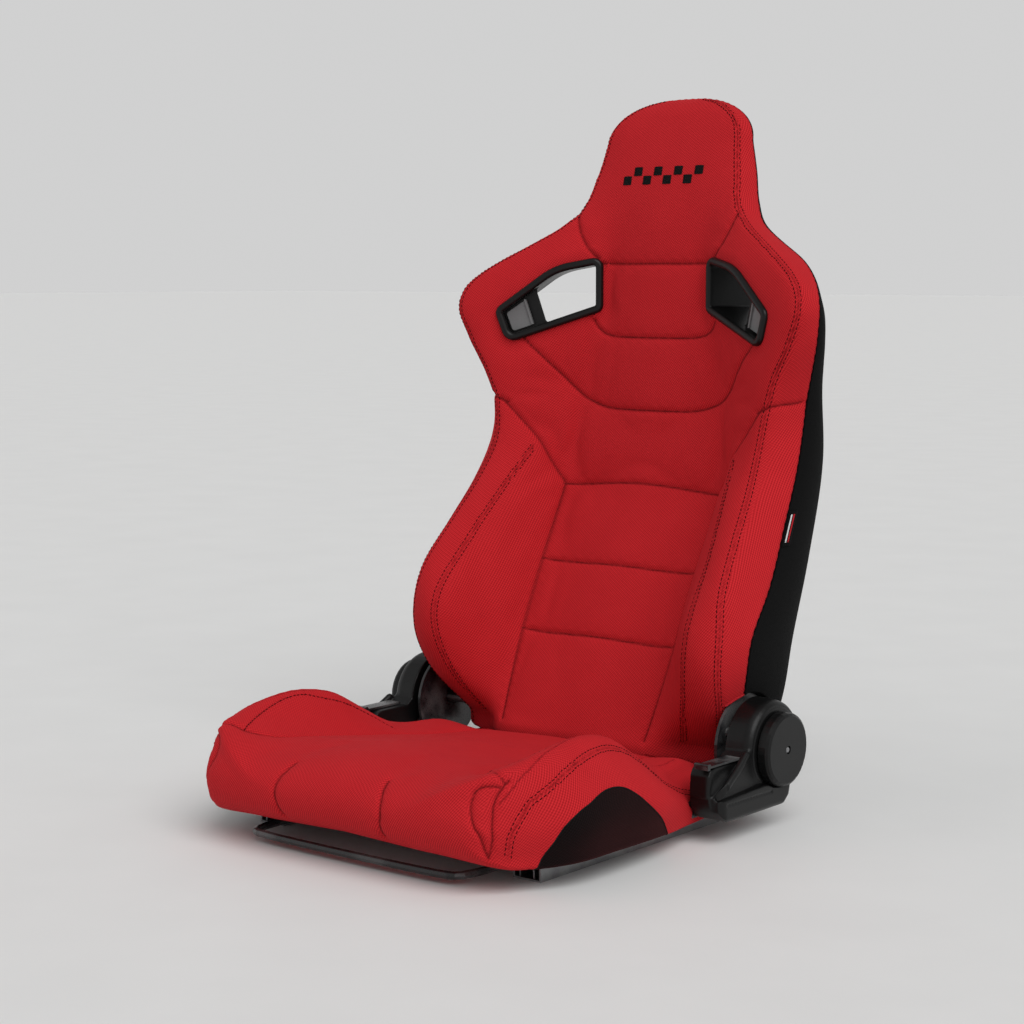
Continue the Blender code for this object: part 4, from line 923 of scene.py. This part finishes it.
def make_label(tree):
    """Small folded label caught in the edge seam on the occupant's left, black with two plain stripes."""
    white = thread_material("white_thread", (0.55, 0.55, 0.55), (0.78, 0.78, 0.78))
    bands = [("ground", -0.0005, LABEL_WIDTH, 0.0, BLACK_CLOTH)]
    for (name, low, high), mat in zip(LABEL_STRIPES, (white, RED_THREAD)):
        bands.append((name, low, high, 0.0004, mat))
    for name, low, high, lift, mat in bands:
        inset = 0.0 if name == "ground" else 0.0045
        grid = []
        for z in np.linspace(LABEL_Z[0] + inset, LABEL_Z[1] - inset, 12):
            start = np.array((*sample(BACK_EDGE, z)[0], z))
            run = np.array((*(sample(BACK_CORNER, z)[0] - start[:2]), 0.0))
            run /= np.linalg.norm(run)
            on, up = project([start + run * w for w in np.linspace(low, high, 7)], tree)
            grid.append(on + np.sign((up[:, :1] > 0) - 0.5) * up * (0.0010 + lift))
        grid = np.array(grid)
        mesh = bpy.data.meshes.new(f"label_{name}")
        mesh.from_pydata(grid.reshape(-1, 3).tolist(), [], grid_faces(*grid.shape[:2], closed=False))
        obj = finish_object(f"label_{name}", mesh, mat)
        wall = obj.modifiers.new("wall", "SOLIDIFY")
        wall.thickness, wall.offset = (LABEL_T if name == "ground" else 0.0003), 0
        apply_modifiers(obj)
        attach(obj, "backrest")


def make_backrest():
    """The red pad: lofted, pressed out by its foam, sewn, and cut out round the openings and the recliners."""
    rings = pad_rings()
    rows, columns = rings.shape[:2]
    foot = list(range(columns))[::-1]
    top = [(rows - 1) * columns + k for k in range(columns)]
    obj = skin("backrest_upholstery", rings, RED_CLOTH, [foot, top])
    set_coords(obj, fit_opening(coords(obj), PAD_AT_OPENING, PAD_REACH[0], *PAD_DEPTHS))
    tree = tree_of(obj)
    seams = back_seams(rings, tree)
    points = coords(obj)
    hold = hold_seams(points, seams)
    s, z, _ = opening_coordinates(points)
    hold = np.maximum(hold, 1 - smooth_step(outline_distance(s, z), *OPENING_HOLD))
    edge = np.concatenate(both_sides(back_column(rings, 4)))
    hold = np.maximum(hold, hold_near(points, edge, EDGE_HOLD))
    behind = sample(BACK_CENTRE, points[:, 2])[:, 1] + BEHIND_HOLD
    hold[(points[:, 1] > behind) & (np.abs(points[:, 0]) < BEHIND_X)] = 1
    hold[points[:, 2] < BACK_FOOT_Z + 0.004] = 1
    hold[points[:, 2] > CROWN_HOLD_Z] = 1
    press(obj, hold, BACK_SWELL)
    subdivide(obj, FINE)
    set_coords(obj, fit_opening(coords(obj), PAD_AT_OPENING, PAD_REACH[1], *PAD_DEPTHS))
    sew(obj, seams)
    set_coords(obj, notch(coords(obj)))
    cut_opening(obj, *PAD_CUT)
    tree = tree_of(obj)
    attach(obj, "backrest")
    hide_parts("back_cushion")
    seam_stitches("backrest_stitches", seams, tree, "backrest")
    edge_work(rings, tree)
    make_head_strip(tree)


# ---------------------------------------------------------------- seat cushion
SEAT_SPANS = (16, 9, 4, 8)    # columns between the cushion's lines, centre to the widest point
ROLL_DEGREES = np.linspace(6, 90, 15)
TAIL_FROM_Y, TAIL_REACH = 0.046, 0.034    # the sides of the cushion's rear run on below the backrest
TAIL_X = (0.135, 0.160)                   # they start between these distances from the middle
TAIL_Z, TAIL_SINK = 0.056, 0.7            # and sink towards this height by this share
CORNER_PULL = (0.011, 0.009, 0.0)    # the nose's corners are drawn in by this much, in plan


def seat_rings():
    """Rings of the cushion: each has as many columns on top as underneath, so that the nose closes on itself."""
    rows = np.linspace(CUSHION_REAR_Y, HOLLOW_FRONT_Y, int((CUSHION_REAR_Y - HOLLOW_FRONT_Y) / CELL))
    rows = np.concatenate([rows, [HOLLOW_FRONT_Y - 0.0006, CUSHION_ROLL_Y]])
    top = smooth_section(lines_at(SEAT_TOP, rows, 1), SEAT_SPANS, mirror_end=False)
    total = sum(SEAT_SPANS)
    hem = lines_at((SEAT_SIDE, SEAT_HEM), rows, 1)
    solid = lines_at((SEAT_FLOOR, SEAT_KEEL), rows, 1)
    under = np.zeros((len(rows), total, 3))
    side_count, floor_count = 6, 4
    section = smooth_section(lines_at(SEAT_TOP[2:], rows, 1), (1, 1, side_count), mirror_end=False)[:, 2:]
    for i in range(len(rows)):
        hollow = rows[i] > HOLLOW_FRONT_Y - 1e-6
        foot = hem[i, 1]
        if hollow:    # the hem turns in to the hollow over the seat pan
            path = [foot, (HOLLOW_X + 0.004, rows[i], foot[2] + 0.001), (HOLLOW_X, rows[i], HOLLOW_Z - 0.004),
                    (HOLLOW_X - 0.004, rows[i], HOLLOW_Z)]
            end = (0, rows[i], HOLLOW_Z)
        else:
            path = [foot, (foot[0] * 0.8, rows[i], solid[i, 0, 2] - 0.002), (foot[0] * 0.65, rows[i], solid[i, 0, 2]),
                    (foot[0] * 0.5, rows[i], solid[i, 0, 2])]
            end = tuple(solid[i, 1])
        rest = np.linspace(path[-1], end, total - side_count - floor_count + 2)
        under[i] = np.concatenate([section[i, 1:side_count], path[:-1], rest])[:total]
    halves = np.concatenate([top, under], axis=1)
    taper = np.clip((NOSE_TAPER[0] - rows) / (NOSE_TAPER[0] - CUSHION_ROLL_Y), 0, 1) ** 2
    halves[:, :, 0] *= 1 - NOSE_TAPER[1] * taper[:, None]
    rings = mirrored_rings(halves)
    base, out = rings[-1], [rings]
    half = base.shape[0] // 2
    partner = np.array([half - k if k <= half else 3 * half - k for k in range(2 * half)])
    for degrees in ROLL_DEGREES:
        sine, shrink = math.sin(math.radians(degrees)), max(math.cos(math.radians(degrees)), 0.0)
        reach = sine * (CUSHION_NOSE_Y - CUSHION_ROLL_Y)
        meet = smooth_step(np.array([degrees]), 25, 90)[0]
        across = base[:, 0] * (1 - meet / 2) + base[partner, 0] * meet / 2
        ring = base.copy()
        ring[:, 0] = across
        ring[:, 0] *= 1 - ROLL_NARROWING[0] * sine - ROLL_NARROWING[1] * (1 - shrink)
        ring[:, 1] += reach * (1 - ROLL_BOW * np.abs(across) ** 3 / ROLL_BOW_X ** 3)
        ring[:, 2] = CUSHION_ROLL_Z + (base[:, 2] - CUSHION_ROLL_Z) * shrink ** 0.9
        out.append(ring[None])
    rings = np.concatenate(out)
    x, y, z = np.moveaxis(rings, -1, 0)
    corner = smooth_step(np.abs(x), 0.17, 0.27) * smooth_step(-y, 0.26, 0.35)
    corner *= smooth_step(z, 0.012, 0.045) * (1 - smooth_step(z, 0.085, 0.150))
    inwards = np.stack([-np.sign(x), np.ones_like(x), np.zeros_like(x)], axis=-1)
    return rings + corner[:, :, None] * inwards * CORNER_PULL


def seat_seams(tree):
    """All seams of the cushion, laid on the cloth."""
    double = [(.262, .034, .0640), (.250, -.006, .0740), (.243, -.060, .0960), (.241, -.105, .1230),
              (.245, -.156, .1410), (.252, -.209, .1430), (.256, -.250, .1340), (.259, -.285, .1220),
              (.256, -.313, .1080), (.253, -.324, .0950), (.249, -.333, .0810), (.246, -.338, .0640),
              (.241, -.336, .0410)]
    ridge = [(.198, .040, .0870), (.207, .000, .0870), (.213, -.050, .0950), (.217, -.090, .1180), (.219, -.136, .1420),
             (.224, -.190, .1560), (.231, -.259, .1520), (.236, -.287, .1450), (.240, -.314, .1340),
             (.236, -.329, .1200), (.232, -.342, .1080)]
    inner = [(.168, -.072, .0960), (.190, -.088, .1090), (.199, -.117, .1270), (.202, -.141, .1380),
             (.207, -.168, .1460), (.215, -.191, .1520), (.217, -.218, .1530), (.214, -.249, .1490),
             (.205, -.288, .1400), (.190, -.325, .1320)]
    plain = [
        [(.138, .060, .0790), (.142, .020, .0820), (.146, -.036, .0860), (.149, -.090, .0920), (.151, -.160, .1030),
         (.156, -.230, .1140), (.166, -.290, .1210), (.190, -.318, .1240), (.216, -.326, .1290), (.230, -.330, .1280)],
        [(.074, -.352, .1150), (.077, -.364, .1070), (.082, -.374, .0940), (.084, -.379, .0780), (.082, -.378, .0660),
         (.080, -.366, .0500)],
        [(.229, -.334, .1240), (.221, -.342, .1260), (.211, -.350, .1250), (.206, -.358, .1190), (.205, -.363, .1100),
         (.208, -.367, .0990), (.216, -.370, .0850), (.222, -.367, .0730), (.224, -.359, .0550), (.225, -.352, .0430)],
        [(.232, -.325, .1320), (.229, -.334, .1240), (.227, -.343, .1140), (.228, -.348, .1050), (.230, -.351, .0940),
         (.232, -.354, .0810), (.233, -.354, .0680), (.230, -.353, .0540), (.225, -.352, .0430)],
    ]
    seams = []
    for line, kind, thread in ((double, "double", THREAD), (ridge, "single", RED_THREAD), (inner, "single", THREAD)):
        seams += seam_pairs([line], tree, 0.002, kind=kind, thread=thread)
    return seams + seam_pairs(plain, tree)


def make_cushion():
    """The seat cushion: lofted, pressed out by its foam, sewn, and drawn out at its rear sides."""
    rings = seat_rings()
    columns = rings.shape[1]
    cap = [list(range(columns))]
    obj = skin("seat_upholstery", rings, CUSHION_CLOTH, cap)
    tree = tree_of(obj)
    seams = seat_seams(tree)
    points = coords(obj)
    hold = hold_seams(points, seams)
    low = sample(SEAT_HEM, np.clip(points[:, 1], -0.306, 0.134))[:, 1] + 0.012
    hold = np.maximum(hold, 1 - smooth_step(points[:, 2], low - 0.004, low + 0.012))
    hold[points[:, 1] > CUSHION_REAR_Y - 0.002] = 1
    hold[(points[:, 2] < HOLLOW_Z + 0.002) & (np.abs(points[:, 0]) < HOLLOW_X + 0.006)] = 1
    press(obj, hold, SEAT_SWELL)
    subdivide(obj, FINE)
    sew(obj, seams)
    points = coords(obj)
    tail = np.clip((points[:, 1] - TAIL_FROM_Y) / (CUSHION_REAR_Y - TAIL_FROM_Y), 0, 1) ** 2
    tail *= smooth_step(np.abs(points[:, 0]), *TAIL_X)
    points[:, 1] += tail * TAIL_REACH
    points[:, 2] -= tail * np.maximum(points[:, 2] - TAIL_Z, 0) * TAIL_SINK
    set_coords(obj, points)
    tree = tree_of(obj)
    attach(obj, "seat")
    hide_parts("seat_cushion")
    seam_stitches("seat_stitches", seams, tree, "seat")
    keys = np.array(ARCH)
    t = np.linspace(0, 1, len(keys))
    arch = sample(np.column_stack([t, keys]), np.linspace(0.02, 0.98, 150))
    arch = np.array([tuple(hit) for hit in (surface_beside(tree, y, z) for y, z in arch) if hit is not None])
    for (side, word), points in zip(SIDES, both_sides(arch)):
        cord_along(f"insert_serging_{word}", points, 0.0008, BLACK_THREAD, "seat", 6)


# ---------------------------------------------------------------- rear cover
def make_rear_cover():
    """The black cloth over the backrest's rear and outer sides, and the label caught in its edge."""
    rows = back_rows()
    points = lines_at((BACK_OUTER, BACK_EDGE, BACK_CORNER, BACK_REAR, BACK_SPINE), rows, 2)
    half = smooth_section(points, (1, 14, 10, 14))[:, 1:]
    half[:, 0] += (half[:, 1] - half[:, 0]) * 0.12
    rings = np.concatenate([half, half[:, :-1][:, ::-1] * MIRROR], axis=1)
    rings = np.concatenate([rings, [crown(rings[-1], degrees) for degrees in CROWN_DEGREES]])
    rings[-len(CROWN_DEGREES):, :, 1] += 0.0006
    count, columns = rings.shape[:2]
    mesh = bpy.data.meshes.new("rear_cloth")
    mesh.from_pydata(rings.reshape(-1, 3).tolist(), [], grid_faces(count, columns, closed=False))
    obj = finish_object("rear_cloth", mesh, BLACK_CLOTH)
    if obj.data.polygons[0].normal.x < 0:
        obj.data.flip_normals()
    set_coords(obj, fit_opening(coords(obj), COVER_AT_OPENING, COVER_REACH[0], *COVER_DEPTHS))
    subdivide(obj, FINE)
    set_coords(obj, fit_opening(coords(obj), COVER_AT_OPENING, COVER_REACH[1], *COVER_DEPTHS))
    line = ((.085, .208, .10), (.088, .262, .22), (.090, .310, .35), (.088, .334, .50),
            (.075, .338, .62), (.060, .342, .70), (.048, .362, .79), (.040, .372, .86))
    groove(obj, seam_pairs([line], tree_of(obj)))
    make_label(tree_of(obj))
    set_coords(obj, notch(coords(obj)))
    cut_opening(obj, *COVER_CUT)
    wall = obj.modifiers.new("wall", "SOLIDIFY")
    wall.thickness, wall.offset = 0.0025, -1
    apply_modifiers(obj)
    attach(obj, "backrest")
    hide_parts("rear_cover")


# ---------------------------------------------------------------- harness trim
def ring_mesh(profile, side):
    """Closed ring with a (inset, depth) profile swept round a harness opening."""
    rings = np.array([[opening_point(p.x, p.y, depth, side) for p in opening_outline(inset)]
                      for inset, depth in profile])
    bm = bmesh.new()
    rows = [[bm.verts.new(p) for p in ring] for ring in rings]
    for low, high in zip(rows, rows[1:] + rows[:1]):
        for j in range(len(low)):
            k = (j + 1) % len(low)
            bm.faces.new((low[j], low[k], high[k], high[j]))
    return bm


def housing_plate(side):
    """Plate behind the lever, which closes the outer end of an opening."""
    outline = [tuple(p) for p in opening_outline(BEZEL_WIDTH - SLEEVE_WALL / 2) if p.x > 0.11] + list(HOUSING_EDGE)
    bm = bmesh.new()
    near, far = ([bm.verts.new(opening_point(s, z, depth, side)) for s, z in outline] for depth in HOUSING_DEPTH)
    bm.faces.new(near)
    bm.faces.new(far[::-1])
    for i in range(len(outline)):
        k = (i + 1) % len(outline)
        bm.faces.new((near[i], near[k], far[k], far[i]))
    return bm


def make_harness_trim():
    """Bezels, rear rings and lever housings of the harness openings."""
    wide, wall = BEZEL_WIDTH, SLEEVE_WALL
    bead = [(wide / 2 - wide / 2 * math.cos(a), -0.0052 * math.sin(a) - 0.0004) for a in np.linspace(0, math.pi, 13)]
    front = [(0.0, 0.0040)] + bead + [(wide, 0.004), (wide, SLEEVE_DEPTH - 0.001), (wide - wall, SLEEVE_DEPTH - 0.001),
                                      (wide - wall, 0.0040)]
    near, far = SLEEVE_DEPTH - 0.0050, SLEEVE_DEPTH + 0.0030
    lip = wide - wall - 0.0003
    rear = [(0, near)] + [(lip / 2 - lip / 2 * math.cos(a), far - 0.003 + 0.003 * math.sin(a))
                          for a in np.linspace(0, math.pi, 9)] + [(lip, near)]
    for side, word in SIDES:
        for name, profile in (("harness_bezel", front), ("harness_rear_ring", rear)):
            obj = bm_object(f"{name}_trim_{word}", ring_mesh(profile, side), PLASTIC, 50)
            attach(obj, "backrest")
            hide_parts(f"{name}_{word}")
        plate = bm_object(f"lever_housing_{word}", housing_plate(side), PLASTIC)
        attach(plate, "backrest")


# ---------------------------------------------------------------- recliner covers
COVER_CELL = 0.0012
COVER_ROUNDING = 12
RIB = ((0.2935, 0.0560, 0.1030), (0.2965, 0.0350, 0.0900), (0.2985, 0.0100, 0.0760), (0.2985, -0.0085, 0.0630))
RIB_R, RIB_STEP = 0.0052, 0.0015
LEDGE_GROOVE = ((0.3010, 0.0058, 0.0503), (0.3010, 0.0500, 0.0500), (0.3010, 0.1040, 0.0493))
BELL_STEP_R, BELL_FACE_X = 0.0520, 0.2932
COVER_FACES = {"outer": (0, -1, 0.3010), "front": (1, 1, -0.0120), "under": (2, 1, 0.0270)}   # axis, inward, place
COVER_EDGES = (("outer", "front", 0.017), ("outer", "under", 0.008), ("front", "under", 0.032))    # and radius


def round_edges(points):
    """Rounds the long edges of a cover on the +X side, in place."""
    for first, second, radius in COVER_EDGES:
        (a, way_a, face_a), (b, way_b, face_b) = COVER_FACES[first], COVER_FACES[second]
        u = np.maximum(radius - way_a * (points[:, a] - face_a), 0)
        v = np.maximum(radius - way_b * (points[:, b] - face_b), 0)
        reach = np.hypot(u, v)
        share = np.where((u > 0) & (v > 0) & (reach > radius), radius / np.maximum(reach, 1e-9), 1)
        points[:, a] += way_a * u * (1 - share)
        points[:, b] += way_b * v * (1 - share)


def make_recliner_covers():
    """The moulded covers with soft edges and a rib: the CAD shape on a fine mesh, relaxed."""
    angles = np.linspace(0, 2 * math.pi, 200)
    step = np.column_stack([np.full(200, BELL_FACE_X), HINGE_Y + BELL_STEP_R * np.cos(angles),
                            HINGE_Z + BELL_STEP_R * np.sin(angles)])
    grooves = ((spline(LEDGE_GROOVE), 0.0016, 0.0015), (step, 0.0007, 0.0012))
    for side, word in SIDES:
        bm = bmesh.new()
        bm.from_mesh(frame["nodes"][f"recliner_cover_{word}"].data)
        for point in spline(RIB, RIB_STEP):
            place = Matrix.Translation((side * point[0], point[1], point[2]))
            bmesh.ops.create_icosphere(bm, subdivisions=2, radius=RIB_R, matrix=place)
        mesh = bpy.data.meshes.new(f"recliner_moulding_{word}")
        bm.to_mesh(mesh)
        bm.free()
        obj = finish_object(f"recliner_moulding_{word}", mesh, PLASTIC)
        fine = obj.modifiers.new("fine", "REMESH")
        fine.mode = "VOXEL"
        fine.voxel_size = COVER_CELL
        relax = obj.modifiers.new("relax", "SMOOTH")
        relax.factor, relax.iterations = 0.5, COVER_ROUNDING
        apply_modifiers(obj)
        obj.data.materials.clear()
        obj.data.materials.append(PLASTIC)
        obj.data.shade_smooth()
        mirror = np.array([side, 1, 1])
        points, outward = coords(obj) * mirror, normals(obj) * mirror
        round_edges(points)
        for line, depth, width in grooves:
            points -= outward * (depth * bell(distance_to(points, line), width))[:, None]
        set_coords(obj, points * mirror)
        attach(obj, "seat")
        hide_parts(f"recliner_cover_{word}")


# ---------------------------------------------------------------- studio
HORIZON_LIGHT, ZENITH_LIGHT, SKY_FADE = 0.635, 0.36, (0.12, 0.6)    # the sky fades between these upward shares
LIGHTS = (("key", (-0.78, 0.36, -1.0), 1.86, 50), ("fill", (0.85, 0.55, -0.45), 0.16, 60))
FLOOR_TONES = ((0.3, (0.755, 0.755, 0.75)), (0.7, (0.775, 0.775, 0.77)))
CAMERA_PLACE, CAMERA_AZIMUTH, CAMERA_PITCH, CAMERA_LENS = (1.734, -2.176, 0.6885), 39.02, 6.20, 77.34


def soft_sun(name, direction, strength, angle):
    """A broad, distant light, which leaves the floor in one even tone."""
    data = bpy.data.lights.new(name, "SUN")
    data.energy = strength
    data.angle = math.radians(angle)
    light = bpy.data.objects.new(name, data)
    light.rotation_euler = Vector(direction).to_track_quat("-Z", "Y").to_euler()
    bpy.context.scene.collection.objects.link(light)


def studio():
    """A pale floor, a soft sky that is brighter towards the horizon, and two broad lights."""
    nodes = Nodes("studio_floor")
    mat = nodes.surface(nodes.ramp(nodes.noise(6.0, 4.0), FLOOR_TONES), 0.7)
    floor = bmesh.new()
    bmesh.ops.create_grid(floor, x_segments=8, y_segments=8, size=60.0)
    bm_object("floor", floor, mat)
    world = bpy.data.worlds.new("studio")
    world.use_nodes = True
    sky = world.node_tree
    split = sky.nodes.new("ShaderNodeSeparateXYZ")
    sky.links.new(sky.nodes.new("ShaderNodeTexCoord").outputs["Generated"], split.inputs[0])
    fade = sky.nodes.new("ShaderNodeMapRange")
    sky.links.new(split.outputs[2], fade.inputs["Value"])
    for key, value in zip(("From Min", "From Max", "To Min", "To Max"), (*SKY_FADE, HORIZON_LIGHT, ZENITH_LIGHT)):
        fade.inputs[key].default_value = value
    sky.links.new(fade.outputs[0], sky.nodes["Background"].inputs["Strength"])
    sky.nodes["Background"].inputs["Color"].default_value = (1.0, 1.0, 1.0, 1.0)
    bpy.context.scene.world = world
    for light in LIGHTS:
        soft_sun(*light)
    bpy.context.scene.view_settings.view_transform = "Standard"


def camera():
    """The photograph's viewpoint: a long lens, a little above the seat, on the occupant's left front."""
    data = bpy.data.cameras.new("camera")
    data.lens = CAMERA_LENS
    data.sensor_width = 36.0
    view = bpy.data.objects.new("camera", data)
    azimuth, pitch = math.radians(CAMERA_AZIMUTH), math.radians(CAMERA_PITCH)
    view.location = CAMERA_PLACE
    view.rotation_euler = (math.pi / 2 - pitch, 0, azimuth)
    bpy.context.scene.collection.objects.link(view)
    bpy.context.scene.camera = view


def finish_cad_nodes():
    """The CAD nodes that stay visible get their materials by the record's slots."""
    looks = {"black_steel": BLACK_STEEL, "bare_steel": BARE_STEEL, "black_plastic": PLASTIC,
             "grey_plastic": GREY_PLASTIC, "red_fabric": RED_CLOTH, "black_fabric": BLACK_CLOTH}
    for part in frame["record"]["subparts"]:
        obj = frame["nodes"][part["node"]]
        for slot in obj.material_slots:
            slot.material = looks[part["material_slot"]]


finish_cad_nodes()
make_backrest()
make_cushion()
make_rear_cover()
make_harness_trim()
make_recliner_covers()
studio()
camera()
